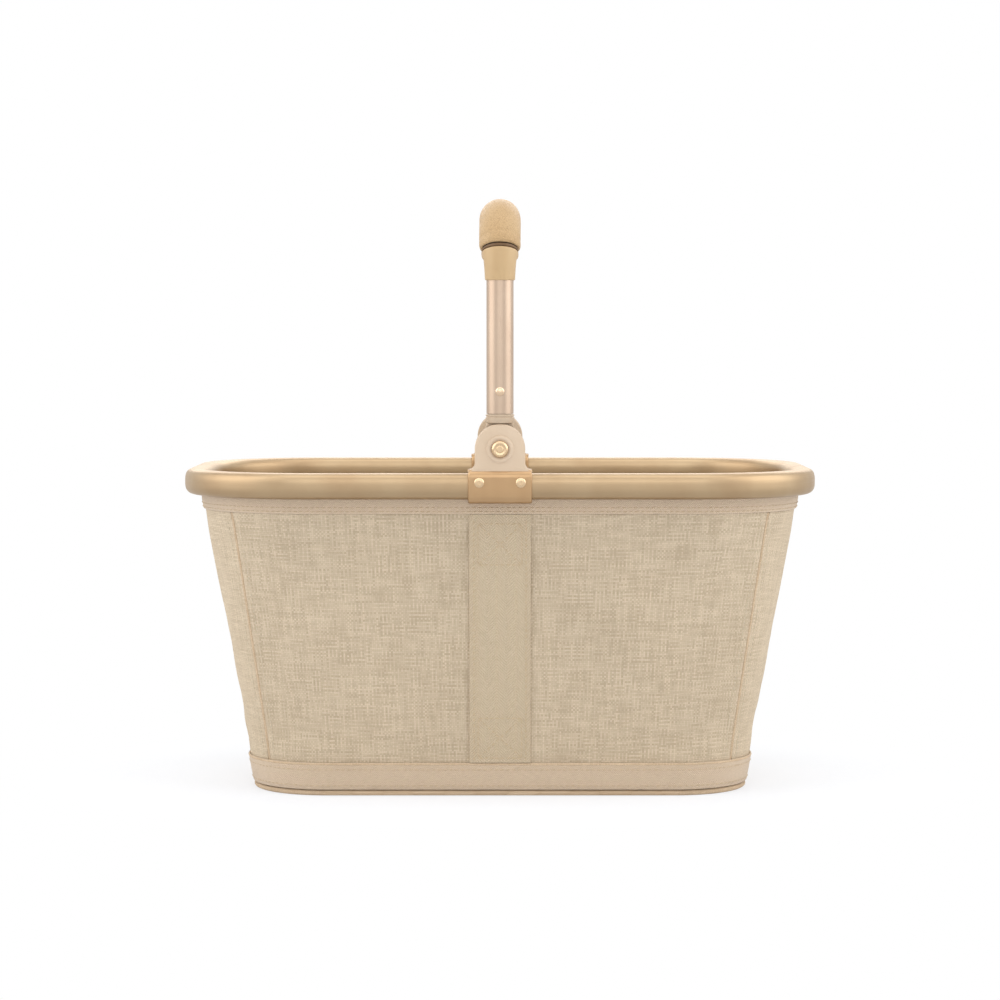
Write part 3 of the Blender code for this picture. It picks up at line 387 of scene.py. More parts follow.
def fuzzy_finish(name, colour, dark, scale=2600.0):
    """Hook-and-loop pile or open foam: dense small tufts, with painted shade in the hollows between
    them.
    """
    colour, dark = linear(colour), linear(dark)
    finish = Finish(name, colour, 0.95, specular=0.2)
    solid = finish.node("TexCoord").outputs["Object"]
    tufts = finish.cells(solid, scale * 0.5)
    hair = finish.speckle(solid, scale * 1.6, 3.0, 0.7)
    height = finish.maths("MULTIPLY_ADD", hair, 0.6, finish.ranged(tufts, 0.0, 0.6, 1.0, 0.0))
    # painted shade: the low hollows between the tufts are mixed towards the dark colour
    tone = finish.blended(finish.ranged(height, 0.2, 1.1, 1.0, 0.0), colour, dark)
    rough = finish.ranged(hair, 0.2, 0.8, 0.98, 0.84)
    finish.set({"Sheen Weight": 0.12})
    return finish.done(tone, rough, height, 0.0004)


rose_gold_tube = metal_finish(
    "rose_gold_tube", (179, 156, 125), (170, 145, 114), 0.42, along_uv=True,
)
champagne_tube = metal_finish(
    "champagne_tube", (194, 173, 153), (186, 163, 143), 0.36, along_uv=True,
)
champagne_small = metal_finish("champagne_small", (222, 196, 168), (212, 184, 154), 0.32)
pale_steel = metal_finish("pale_gold_steel", (218, 192, 158), (204, 176, 140), 0.28)
plain_alloy = metal_finish("plain_aluminium", (200, 200, 202), (184, 184, 188), 0.40)
champagne_plastic = moulded_finish("champagne_plastic", (212, 190, 164), (203, 179, 151), 0.42)
foot_plastic = moulded_finish("foot_plastic", (196, 174, 148), (186, 164, 138), 0.42)
lacquered_plastic = moulded_finish(
    "lacquered_plastic", (184, 152, 115), (174, 141, 104), 0.36, metallic=0.85,
)
tan_plastic = moulded_finish("tan_plastic", (200, 170, 126), (189, 157, 113), 0.45)
# painted shadow: a dark-brown finish for the band that stands in for the shade in the collars'
# groove
groove_shadow_band = moulded_finish("groove_shadow_band", (112, 82, 50), (100, 72, 42), 0.55)
washer_black = moulded_finish("washer_plastic", (84, 78, 72), (66, 61, 56), 0.5, grain=0.00001)
grip_leather = leather_finish("grip_leather", (197, 163, 116), (143, 108, 68), (208, 176, 131))
tub_cloth = woven_finish("tub_cloth", (202, 183, 156), (221, 204, 178), (166, 147, 120), sheen=0.9)
lining_cloth = woven_finish(
    "lining_cloth", (201, 186, 156), (212, 198, 168), (176, 160, 130),
    pitch=0.0009, relief=0.0001, sheen=0.15, slub=0.4,
)
base_cloth = woven_finish(
    "base_cloth", (196, 178, 148), (212, 196, 166), (156, 138, 108), pitch=0.0018, relief=0.0003,
)
piping_cloth = woven_finish(
    "piping_cloth", (210, 185, 154), (221, 198, 168), (176, 149, 118), pitch=0.0008, relief=0.0001,
)
trim_tape = tape_finish("trim_tape", (213, 191, 164), (226, 206, 180), (180, 156, 129))
strap_tape = tape_finish(
    "strap_webbing", (203, 184, 155), (219, 201, 174), (168, 148, 119), rib=0.0022, relief=0.0003,
)
tan_thread = thread_finish("tan_thread", (206, 184, 150), (164, 138, 104))
pale_thread = thread_finish("pale_thread", (216, 203, 178), (178, 160, 130))
pile_cloth = fuzzy_finish("hook_and_loop", (150, 130, 104), (92, 76, 58))
grip_foam = fuzzy_finish("grip_foam", (78, 74, 70), (40, 38, 36), scale=1400.0)


# Small making steps


def deselect():
    """Leaves nothing selected."""
    bpy.ops.object.select_all(action="DESELECT")


def only(obj):
    """Selects one object, and nothing else."""
    deselect()
    obj.select_set(True)
    bpy.context.view_layer.objects.active = obj


def edit(obj, select="SELECT"):
    """Opens a mesh for editing, with all of it selected or none."""
    only(obj)
    bpy.ops.object.mode_set(mode="EDIT")
    bpy.ops.mesh.select_all(action=select)


def leave_edit():
    """Closes the mesh that is open."""
    bpy.ops.object.mode_set(mode="OBJECT")


def pick(obj, kind, wanted):
    """Selects the vertices, edges or faces of a mesh in edit mode that a test wants."""
    bpy.ops.mesh.select_mode(type={"verts": "VERT", "edges": "EDGE", "faces": "FACE"}[kind])
    bpy.ops.mesh.select_all(action="DESELECT")
    bm = bmesh.from_edit_mesh(obj.data)
    for part in getattr(bm, kind):
        if wanted(part):
            part.select_set(True)
    bm.select_flush_mode()
    bmesh.update_edit_mesh(obj.data)


def apply_modifier(obj, kind, **settings):
    """Adds a modifier and applies it."""
    only(obj)
    modifier = obj.modifiers.new("work", kind)
    for name, value in settings.items():
        setattr(modifier, name, value)
    bpy.ops.object.modifier_apply(modifier=modifier.name)
    return obj
def soften(obj, wanted, width, segments=3):
    """Rounds those edges of a piece whose two ends a test wants."""
    edit(obj, "DESELECT")
    pick(obj, "edges", lambda edge: wanted(edge.verts[0].co, edge.verts[1].co))
    bpy.ops.mesh.bevel(offset=width, segments=segments, affect="EDGES")
    leave_edit()


def bevelled(obj, width, segments, least_angle):
    """Rounds all edges of a piece that bend by more than an angle in degrees."""
    apply_modifier(
        obj, "BEVEL", width=width, segments=segments, limit_method="ANGLE",
        angle_limit=math.radians(least_angle),
    )


def cut_away(obj, cutter, operation="DIFFERENCE"):
    """Takes a cutter away from a piece, or joins it on, and removes the cutter."""
    apply_modifier(obj, "BOOLEAN", operation=operation, solver="EXACT", object=cutter)
    bpy.data.objects.remove(cutter)
    return obj


def tidy_mesh(obj):
    """Merges doubles and turns all faces outwards."""
    edit(obj)
    bpy.ops.mesh.remove_doubles(threshold=1e-6)
    bpy.ops.mesh.normals_make_consistent(inside=False)
    leave_edit()


def placed(obj, matrix):
    """Moves a piece's mesh by a matrix, with its object left at the origin."""
    only(obj)
    obj.matrix_world = matrix
    bpy.ops.object.transform_apply(location=True, rotation=True, scale=True)
    return obj


def copied(obj):
    """A copy with its own mesh."""
    twin = obj.copy()
    twin.data = obj.data.copy()
    bpy.context.scene.collection.objects.link(twin)
    return twin


def settle(obj, name, finish, body, replaces=(), angle=35):
    """Names a finished piece, gives it its material and body, and hides the nodes it stands for."""
    only(obj)
    bpy.ops.object.transform_apply(location=True, rotation=True, scale=True)
    bpy.ops.object.shade_smooth_by_angle(angle=math.radians(angle))
    obj.name = name
    obj.data.name = name
    if finish is not None:
        obj.data.materials.clear()
        obj.data.materials.append(finish)
    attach(obj, body)
    if replaces:
        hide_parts(*replaces)
    return obj


def fold_with_ring(obj):
    """Gives a piece a mesh of its own."""
    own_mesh(obj)
    return obj
def drawn_line(points, closed=False):
    """A mesh line through points, drawn by pulling one vertex out again and again."""
    points = [Vector(p) for p in points]
    deselect()
    bpy.ops.mesh.primitive_plane_add(size=0.001, location=points[0])
    obj = bpy.context.object
    bpy.ops.object.transform_apply(location=True)
    bpy.ops.object.mode_set(mode="EDIT")
    bpy.ops.mesh.select_mode(type="VERT")
    bpy.ops.mesh.select_all(action="SELECT")
    bpy.ops.mesh.merge(type="CENTER")
    for a, b in zip(points, points[1:]):
        bpy.ops.mesh.extrude_region_move(TRANSFORM_OT_translate={"value": b - a})
    if closed:
        first, last = points[0], points[-1]
        pick(obj, "verts", lambda v: (v.co - first).length < 1e-7 or (v.co - last).length < 1e-7)
        bpy.ops.mesh.edge_face_add()
    bpy.ops.mesh.select_all(action="SELECT")
    leave_edit()
    return obj


def turned(profile, steps=48, closed=False):
    """A piece turned round the Z axis from a profile of (radius, height)."""
    obj = drawn_line([(radius, 0, height) for radius, height in profile], closed)
    edit(obj)
    bpy.ops.mesh.spin(steps=steps, angle=2 * math.pi, center=(0, 0, 0), axis=(0, 0, 1))
    leave_edit()
    tidy_mesh(obj)
    return obj


def slab(outline, thick_by):
    """A plate of a drawn outline, pushed out by a vector."""
    obj = drawn_line(outline, closed=True)
    edit(obj)
    bpy.ops.mesh.edge_face_add()
    bpy.ops.mesh.extrude_region_move(TRANSFORM_OT_translate={"value": Vector(thick_by)})
    bpy.ops.mesh.select_all(action="SELECT")
    bpy.ops.mesh.normals_make_consistent(inside=False)
    leave_edit()
    return obj


def arc(centre, radius, start, end, steps):
    """Points on an arc in a plane, with both ends; angles in degrees."""
    points = []
    for i in range(steps + 1):
        a = math.radians(start + (end - start) * i / steps)
        points.append((centre[0] + radius * math.cos(a), centre[1] + radius * math.sin(a)))
    return points
def even_steps(low, high, steps):
    """Evenly spaced values from one to another, with both ends."""
    return [low + (high - low) * i / steps for i in range(steps + 1)]


def length_along(points, closed=False):
    """Length of a line through points."""
    ends = points[1:] + points[:1] if closed else points[1:]
    return sum((Vector(a) - Vector(b)).length for a, b in zip(points, ends))


def swept(path, radius=0.0, section=None, cyclic=False, caps=True, twist="MINIMUM", sides=6):
    """A tube along a path, round or of a drawn section, its map in metres along and around."""
    curve = bpy.data.curves.new("path", "CURVE")
    curve.dimensions = "3D"
    curve.twist_mode = twist
    curve.use_fill_caps = caps and not cyclic
    helper = None
    if section:
        drawn = bpy.data.curves.new("section", "CURVE")
        drawn.dimensions = "2D"
        line = drawn.splines.new("POLY")
        line.points.add(len(section) - 1)
        for point, (px, py) in zip(line.points, section):
            point.co = (px, py, 0.0, 1.0)
        line.use_cyclic_u = True
        helper = bpy.data.objects.new("section", drawn)
        bpy.context.scene.collection.objects.link(helper)
        curve.bevel_mode = "OBJECT"
        curve.bevel_object = helper
        girth = length_along(section, closed=True)
    else:
        curve.bevel_depth = radius
        curve.bevel_resolution = sides
        girth = 2 * math.pi * radius
    spline = curve.splines.new("POLY")
    spline.points.add(len(path) - 1)
    for point, co in zip(spline.points, path):
        point.co = (*co, 1.0)
    spline.use_cyclic_u = cyclic
    obj = bpy.data.objects.new("sweep", curve)
    bpy.context.scene.collection.objects.link(obj)
    only(obj)
    bpy.ops.object.convert(target="MESH")
    obj = bpy.context.object
    if helper:
        bpy.data.objects.remove(helper)
    length = length_along(path, cyclic)
    if obj.data.uv_layers:
        for loop in obj.data.uv_layers[0].data:
            loop.uv = (loop.uv[0] * length, loop.uv[1] * girth)
    tidy_mesh(obj)
    return obj


def mesh_piece(verts, faces, maps=None):
    """An object of given points and faces, with a map in metres for each point."""
    mesh = bpy.data.meshes.new("piece")
    mesh.from_pydata(verts, [], faces)
    obj = bpy.data.objects.new("piece", mesh)
    bpy.context.scene.collection.objects.link(obj)
    if maps:
        layer = mesh.uv_layers.new(name="UVMap")
        for loop in mesh.loops:
            layer.data[loop.index].uv = maps[loop.vertex_index]
    return obj


def surface(obj):
    """A piece's faces, ready to be hit by rays."""
    points = [tuple(vertex.co) for vertex in obj.data.vertices]
    return BVHTree.FromPolygons(points, [tuple(face.vertices) for face in obj.data.polygons])


def runs_along(points):
    """Running length at each of a row of points."""
    runs = [0.0]
    for a, b in zip(points, points[1:]):
        runs.append(runs[-1] + (Vector(a) - Vector(b)).length)
    return runs


def closed_loft(rings, cyclic=True):
    """A closed skin through rings of matching points, its map along the rings' order and round."""
    count, total = len(rings[0]), len(rings)
    verts = [tuple(p) for ring in rings for p in ring]
    faces, maps = [], []
    run = runs_along([ring[0] for ring in rings + rings[:1]])
    round_by = runs_along(rings[0] + rings[0][:1])
    for i in range(total if cyclic else total - 1):
        for j in range(count):
            k, m = (i + 1) % total, (j + 1) % count
            faces.append((i * count + j, i * count + m, k * count + m, k * count + j))
            maps.append([
                (run[i], round_by[j]), (run[i], round_by[j + 1]),
                (run[i + 1], round_by[j + 1]), (run[i + 1], round_by[j]),
            ])
    if not cyclic:
        faces.append(tuple(range(count - 1, -1, -1)))
        maps.append([(0.0, round_by[j]) for j in range(count - 1, -1, -1)])
        faces.append(tuple((total - 1) * count + j for j in range(count)))
        maps.append([(run[total - 1], round_by[j]) for j in range(count)])
    obj = mesh_piece(verts, faces)
    layer = obj.data.uv_layers.new(name="UVMap")
    for polygon, corners in zip(obj.data.polygons, maps):
        for index, corner in zip(polygon.loop_indices, corners):
            layer.data[index].uv = corner
    edit(obj)
    bpy.ops.mesh.normals_make_consistent(inside=False)
    leave_edit()
    return obj


# Stitches


def one_stitch():
    """Points and faces of a single stitch, lying along X, with its ends dipping into the cloth."""
    deselect()
    bpy.ops.mesh.primitive_uv_sphere_add(segments=6, ring_count=5, radius=1.0)
    obj = bpy.context.object
    edit(obj)
    half = STITCH_LONG / 2
    bpy.ops.transform.rotate(value=math.pi / 2, orient_axis="Y", center_override=(0, 0, 0))
    bpy.ops.transform.resize(value=(half, THREAD_RADIUS, THREAD_RADIUS), center_override=(0, 0, 0))
    leave_edit()
    for vertex in obj.data.vertices:
        vertex.co.z -= THREAD_RADIUS * 0.9 * (abs(vertex.co.x) / half) ** 3
    points = [v.co.copy() for v in obj.data.vertices]
    faces = [tuple(p.vertices) for p in obj.data.polygons]
    bpy.data.objects.remove(obj)
    return points, faces


STITCH_VERTS, STITCH_FACES = one_stitch()
STITCH_SLEW = 0.07      # how far a stitch turns out of its row
STITCH_RISE = THREAD_RADIUS * 0.45


def add_stitch(verts, faces, place, axes, points):
    """Adds one stitch to lists of points and faces, at a place, along three axes."""
    first = len(verts)
    along, side, normal = axes
    verts += [tuple(place + along * x + side * y + normal * z) for x, y, z in points]
    faces += [tuple(first + index for index in face) for face in STITCH_FACES]


def stitched(rows, pitch=STITCH_PITCH):
    """Stitches copied along rows; each row is a list of (point, outward normal)."""
    verts, faces = [], []
    points = [(co.x, co.y + co.x * STITCH_SLEW, co.z + STITCH_RISE) for co in STITCH_VERTS]
    for row in rows:
        steps = [(b[0] - a[0]).length for a, b in zip(row, row[1:])]
        total = sum(steps)
        count = max(1, round(total / pitch))
        at, passed = 0, 0.0
        for n in range(count):
            goal = (n + 0.5) * (total / count)
            while at < len(steps) - 1 and passed + steps[at] < goal:
                passed += steps[at]
                at += 1
            share = (goal - passed) / max(steps[at], 1e-9)
            (a, normal_a), (b, normal_b) = row[at], row[at + 1]
            normal = normal_a.lerp(normal_b, share).normalized()
            along = (b - a).normalized()
            along = (along - normal * along.dot(normal)).normalized()
            add_stitch(verts, faces, a.lerp(b, share), (along, normal.cross(along), normal), points)
    return mesh_piece(verts, faces)


def sew(name, rows, finish, body="base", folds=True, pitch=STITCH_PITCH):
    """A piece of stitches along rows, with a mesh of its own or not."""
    thread = stitched(rows, pitch)
    settle(thread, name, finish, body, angle=60)
    if folds:
        fold_with_ring(thread)


def boxed(corners):
    """The four sides and two diagonals of a stitched box."""
    sides = list(zip(corners, corners[1:] + corners[:1]))
    return sides + [(corners[0], corners[2]), (corners[1], corners[3])]


# Camera, light and floor


CAMERA_AWAY, CAMERA_HIGH = 2.2, 0.342
CAMERA_DOWN = 3.36      # degrees below level
LENS = 103.14           # millimetres, on the usual 36 mm sensor
FLOOR_RADIUS = 9.0
SHADE_HALF_X, SHADE_HALF_Y = 0.38, 0.26     # where the floor has faded to plain white
LAMPS = {       # place, height of the aim over the middle, size and watts
    "top_lamp": ((0.0, -0.3, 2.6), 0.2, (2.7, 2.1), 22.0),
    "left_lamp": ((-2.6, -0.6, 1.6), 0.3, (3.0, 2.8), 50.0),
    "right_lamp": ((2.6, -0.6, 1.6), 0.3, (3.0, 2.8), 50.0),
    "front_lamp": ((0.0, -3.4, 1.6), 0.4, (2.9, 2.1), 26.5),
    "back_lamp": ((0.0, 2.2, 1.5), 0.2, (2.6, 1.2), 20.0),
}


def add_camera():
    """The camera, straight in front and a little above."""
    camera = bpy.data.objects.new("camera", bpy.data.cameras.new("camera"))
    bpy.context.scene.collection.objects.link(camera)
    camera.data.sensor_width = 36.0
    camera.data.lens = LENS
    camera.location = (0.0, -CAMERA_AWAY, CAMERA_HIGH)
    camera.rotation_euler = (math.radians(90 - CAMERA_DOWN), 0.0, 0.0)
    camera.data.clip_end = 100.0
    bpy.context.scene.camera = camera


def add_lamp(name, place, aim_high, size, power):
    """A large soft lamp that looks at the basket's middle."""
    lamp = bpy.data.lights.new(name, "AREA")
    lamp.shape = "RECTANGLE"
    lamp.size, lamp.size_y = size
    lamp.energy = power
    obj = bpy.data.objects.new(name, lamp)
    bpy.context.scene.collection.objects.link(obj)
    obj.location = place
    view = Vector((0, 0, aim_high)) - Vector(place)
    obj.rotation_euler = view.to_track_quat("-Z", "Y").to_euler()


def looked_at(wiring):
    """1 for what the camera, a mirror or a glass shows, and 0 for what only gives light."""
    rays = wiring.node("LightPath").outputs
    shown = wiring.maths("MAXIMUM", rays["Is Camera Ray"], rays["Is Transmission Ray"])
    return wiring.maths("MAXIMUM", shown, rays["Is Glossy Ray"])


def emptied(owner):
    """The emptied node tree of a world or a material."""
    owner.use_nodes = True
    owner.node_tree.nodes.clear()
    return Wiring(owner.node_tree)


def add_studio():
    """A pale floor that fades to white away from the basket, and five large soft lamps."""
    white = (1, 1, 1, 1)
    world = bpy.data.worlds.new("studio")
    bpy.context.scene.world = world
    sky = emptied(world)
    seen = looked_at(sky)
    glow = sky.node("Background", {"Color": (0.95, 0.97, 1.0, 1.0), "Strength": 0.48})
    plain = sky.node("Background", {"Color": white, "Strength": 1.0})
    mix = sky.node("MixShader", {0: seen, 1: glow.outputs[0], 2: plain.outputs[0]})
    sky.node("OutputWorld", {0: mix.outputs[0]})
    deselect()
    bpy.ops.mesh.primitive_circle_add(vertices=96, radius=FLOOR_RADIUS, fill_type="TRIFAN")
    floor = bpy.context.object
    floor.name = "floor"
    made = bpy.data.materials.new("floor")
    ground = emptied(made)
    solid = ground.node("TexCoord").outputs["Object"]
    place = ground.stretched(solid, (1 / SHADE_HALF_X, 1 / SHADE_HALF_Y, 1))
    away = ground.vectors("LENGTH", {0: place}).outputs["Value"]
    fade = ground.node("MapRange", {
        "Value": away, "From Min": 0.55, "From Max": 1.0, "To Min": 0.60, "To Max": 1.0,
    }, interpolation_type="SMOOTHSTEP")
    share = ground.times(looked_at(ground), fade.outputs[0])
    matt = ground.node("BsdfDiffuse", {"Color": (0.88, 0.90, 0.95, 1.0)})
    glow = ground.node("Emission", {"Color": white, "Strength": 1.0})
    mix = ground.node("MixShader", {0: share, 1: matt.outputs[0], 2: glow.outputs[0]})
    ground.node("OutputMaterial", {0: mix.outputs[0]})
    floor.data.materials.append(made)
    for name, (place, aim_high, size, power) in LAMPS.items():
        add_lamp(name, place, aim_high, size, power)


bpy.context.scene.view_settings.view_transform = "Standard"
add_camera()
add_studio()


# Frame ring


LIP = 0.0004            # rounding of the groove's mouth


def ring_path(steps=24):
    """The left half of the ring's middle line, from the front joint to the back joint."""
    cx, cy = RIM_HALF_X - RIM_BEND, RIM_HALF_Y - RIM_BEND
    path = arc((-cx, -cy), RIM_BEND, 270, 180, steps) + arc((-cx, cy), RIM_BEND, 180, 90, steps)
    path = [(-HALVES_GAP / 2, -RIM_HALF_Y)] + path + [(-HALVES_GAP / 2, RIM_HALF_Y)]
    return [(px, py, RIM_Z) for px, py in path]


def tube_section(steps=56, grow=0.0):
    """Outline of the tube's section, a squarish oval."""
    power = 2 / TUBE_SQUARENESS
    points = []
    for i in range(steps):
        a = 2 * math.pi * (i + 0.5) / steps - math.pi / 2
        c, s = math.cos(a), math.sin(a)
        points.append((
            (TUBE_WIDE / 2 + grow) * math.copysign(abs(c) ** power, c),
            (TUBE_HIGH / 2 + grow) * math.copysign(abs(s) ** power, s),
        ))
    return points


def tube_underside(px):
    """A point of the tube's underside, by its distance from the middle towards the inside."""
    rest = 1 - (abs(px) / (TUBE_WIDE / 2)) ** TUBE_SQUARENESS
    return (px, -TUBE_HIGH / 2 * rest ** (1 / TUBE_SQUARENESS))


def add_ring():
    """The two halves of the tube, with the hem's groove and its rounded lips underneath."""
    mouth = GROOVE_MOUTH / 2
    clear = mouth + LIP + 0.0003
    outer = [p for p in tube_section() if abs(p[0] - GROOVE_INSET) > clear or p[1] > 0]
    middle = [p for p in outer if p[1] < 0 and 0 < p[0] < GROOVE_INSET]
    outer = [p for p in outer if p not in middle] + middle
    opening = math.degrees(math.asin(mouth / GROOVE_RADIUS))
    groove = arc((GROOVE_INSET, GROOVE_Z), GROOVE_RADIUS, opening - 90, 270 - opening, 14)
    near, far = GROOVE_INSET + mouth, GROOVE_INSET - mouth
    section = [(near, tube_underside(near)[1] + LIP), tube_underside(near + LIP)] + outer
    section += [tube_underside(far - LIP), (far, tube_underside(far)[1] + LIP)] + groove[::-1]
    left = swept(ring_path(), section=section, twist="Z_UP")
    right = placed(copied(left), Matrix.Rotation(math.pi, 4, "Z"))
    for obj, end in ((left, "left"), (right, "right")):
        settle(
            obj, f"ring_tube_{end}", rose_gold_tube, "rim", [f"rim_{end}"],
            angle=40,
        )


# Joint covers, screws and pivots


ON_ITS_SIDE = Matrix.Rotation(-math.pi / 2, 4, "X")      # carries +Z to +Y
CLAMP_HALF_Y = TUBE_WIDE / 2 + GAP + COVER_WALL
CLAMP_HALF_Z = TUBE_HIGH / 2 + GAP + COVER_WALL
COVER_REACH = COVER_LONG / 2 + 0.003      # past the cover's end, for cutters
EAR_FILLET = 0.0050
SCREW_X, SCREW_Z = 0.015, 0.00315
SCREW_SPOTS = [(side * SCREW_X, SCREW_Z) for side in (-1, 1)]
SCREW_RADIUS = 0.0020
SCREW_SEAT_RADIUS = 0.0043
PIN_RADIUS = 0.0030
PIN_HEAD_RADIUS = 0.0062
TONGUE_HALF = 0.0040    # half the thickness of the handle's foot at the pin
SMALL = 1e-5


def joint_place(side):
    """Where a joint of the ring is, turned so that +Y points out of the basket."""
    place = Matrix.Translation((0, side * RIM_HALF_Y, RIM_Z))
    return place @ Matrix.Rotation(math.pi, 4, "Z") if side == FRONT else place


def at_joint(shape, side, x, z):
    """A copy of a turned shape at a joint, with its axis along Y."""
    return placed(copied(shape), joint_place(side) @ Matrix.Translation((x, 0, z)) @ ON_ITS_SIDE)


def round_block(size, centre):
    """A block at its size and place."""
    deselect()
    bpy.ops.mesh.primitive_cube_add(size=1.0, location=centre)
    obj = bpy.context.object
    obj.scale = size
    bpy.ops.object.transform_apply(location=True, rotation=True, scale=True)
    return obj


def rod_along_y(radius, low, high, spot, vertices=32):
    """A round rod along Y through a spot in the XZ plane."""
    deselect()
    bpy.ops.mesh.primitive_cylinder_add(
        vertices=vertices, radius=radius, depth=high - low,
        location=(spot[0], (low + high) / 2, spot[1]), rotation=(math.pi / 2, 0, 0),
    )
    bpy.ops.object.transform_apply(location=True, rotation=True, scale=True)
    return bpy.context.object


def two_headed(head):
    """A rod along Z from half its profile, mirrored."""
    return turned([(radius, -height) for radius, height in reversed(head)] + head, 32)


def add_ear(cover):
    """Joins on the ear, which meets the clamp in two fillets, and the raised ring round its pin."""
    top = CLAMP_HALF_Z
    foot = EAR_RADIUS + EAR_FILLET
    outline = arc((0, PIVOT_RISE), EAR_RADIUS, 0, 180, 40)
    outline += arc((-foot, top + EAR_FILLET), EAR_FILLET, 0, -90, 8)
    outline += [(-foot, top - 0.0016), (foot, top - 0.0016)]
    outline += arc((foot, top + EAR_FILLET), EAR_FILLET, -90, -180, 8)
    ear = slab([(px, EAR_INNER, pz) for px, pz in outline], (0, EAR_THICK, 0))

    def outer_edge(a, b):
        return abs(a.y - b.y) < 1e-6 and a.z + b.z > 2 * top - 0.001 and a.y > EAR_INNER + 0.001

    soften(ear, outer_edge, 0.0010)
    cut_away(cover, ear, "UNION")
    ring = turned([
        (0.0072, 0.0), (0.0072, 0.0007), (0.0078, 0.0010),
        (0.0092, 0.0010), (0.0098, 0.0006), (0.0098, 0.0),
    ], closed=True)
    ring_y = EAR_INNER + EAR_THICK - 0.0001
    placed(ring, Matrix.Translation((0, ring_y, PIVOT_RISE)) @ ON_ITS_SIDE)
    cut_away(cover, ring, "UNION")


def cover_half(parting):
    """One moulded half: a rounded clamp, its ear, its screw seats, and all bores."""
    depth = CLAMP_HALF_Y - parting
    cover = round_block((COVER_LONG, depth, 2 * CLAMP_HALF_Z), (0, parting + depth / 2, 0))

    def along_face(a, b):
        return abs(a.x - b.x) > 0.01 and a.y > CLAMP_HALF_Y - SMALL

    def round_an_end(a, b):
        at_end = min(abs(a.x), abs(b.x)) > COVER_LONG / 2 - SMALL and a.x * b.x > 0
        return at_end and max(a.y, b.y) > parting + GAP

    soften(cover, along_face, 0.0052, 7)
    soften(cover, round_an_end, 0.0012)
    add_ear(cover)
    for spot in SCREW_SPOTS:
        seat = rod_along_y(SCREW_SEAT_RADIUS, CLAMP_HALF_Y - 0.002, CLAMP_HALF_Y + 0.00018, spot)
        cut_away(cover, seat, "UNION")
    tube = [(-COVER_REACH, py, pz) for py, pz in tube_section(40, grow=GAP)]
    cut_away(cover, slab(tube, (2 * COVER_REACH, 0, 0)))
    hem_slot = (2 * COVER_REACH, HEM_THICK + 2 * GAP, CLAMP_HALF_Z)
    cut_away(cover, round_block(hem_slot, (0, parting - GAP / 2, -CLAMP_HALF_Z)))
    cut_away(cover, rod_along_y(PIN_RADIUS + GAP, 0.0, 0.018, (0, PIVOT_RISE)))
    for spot in SCREW_SPOTS:
        cut_away(cover, rod_along_y(SCREW_RADIUS + GAP, -0.006, 0.018, spot, 24))
    tidy_mesh(cover)
    return cover


def add_covers():
    """Both halves at both joints, lacquered like the ring up to the foot of the ears."""
    outer = cover_half(-GROOVE_INSET + GAP / 2)
    inner = placed(cover_half(GROOVE_INSET + GAP / 2), Matrix.Scale(-1, 4, Y))
    tidy_mesh(inner)
    for side in (FRONT, BACK):
        for shape, label in ((outer, "outer"), (inner, "inner")):
            obj = placed(copied(shape), joint_place(side))
            name = f"{SIDE_NAME[side]}_{label}"
            node = f"cover_{name}"
            settle(obj, f"joint_{node}", champagne_plastic, "rim", [node], angle=38)
            obj.data.materials.append(lacquered_plastic)
            for face in obj.data.polygons:
                face.material_index = int(face.center.z < RIM_Z + CLAMP_HALF_Z + 0.00005)
    bpy.data.objects.remove(outer)
    bpy.data.objects.remove(inner)


def through_screw():
    """A joint screw with a low domed head and a hexagon socket at each end, along Z."""
    seat = CLAMP_HALF_Y + GAP
    top = seat + 0.0014
    screw = two_headed([
        (SCREW_RADIUS, seat), (0.0036, seat), (0.0036, seat + 0.0006),
        (0.0031, seat + 0.00115), (0.0022, top), (0, top),
    ])
    for end in (-1, 1):
        deselect()
        bpy.ops.mesh.primitive_cylinder_add(
            vertices=6, radius=0.00145, depth=0.0018, location=(0, 0, end * top),
        )
        cut_away(screw, bpy.context.object)
    tidy_mesh(screw)
    return screw


def pin_and_cap():
    """The handle's pin with its domed head, and the push-on cap of its other end, along Z."""
    head = EAR_INNER + EAR_THICK + GAP
    stem_end = -(head + 0.0018)
    wide, stem = PIN_HEAD_RADIUS, PIN_RADIUS
    pin = turned([
        (0, head + 0.0022), (0.0022, head + 0.00215), (0.0026, head + 0.0018),
        (0.0038, head + 0.0018), (0.0043, head + 0.0021), (0.0053, head + 0.0017),
        (0.0060, head + 0.0010), (wide, head + 0.0003),
        (wide, head), (stem, head), (stem, stem_end + 0.0003), (0.0027, stem_end), (0, stem_end),
    ])
    cap = turned([
        (0.0033, -head), (0.0059, -head), (wide, -head - 0.0003), (wide, -head - 0.0016),
        (0.0057, -head - 0.0023), (0.0044, -head - 0.0029),
        (0.0040, -head - 0.0029), (0.0038, -head - 0.0026),
        (0.0020, -head - 0.0026), (0.0014, -head - 0.0030), (0, -head - 0.0030),
        (0, stem_end - GAP), (0.0033, stem_end - GAP),
    ])
    edit(cap, "DESELECT")
    bpy.ops.mesh.select_non_manifold()
    bpy.ops.mesh.bridge_edge_loops()
    leave_edit()
    tidy_mesh(cap)
    return pin, cap


def friction_washer(face):
    """A washer between an ear and the handle's foot, on one face of the foot, along Z."""
    near, far = sorted((face * (TONGUE_HALF + GAP), face * (TONGUE_HALF + GAP + 0.0008)))
    return turned([
        (0.0033, near), (0.0103, near), (0.0105, near + 0.0002),
        (0.0105, far - 0.0002), (0.0103, far), (0.0033, far),
    ], closed=True)


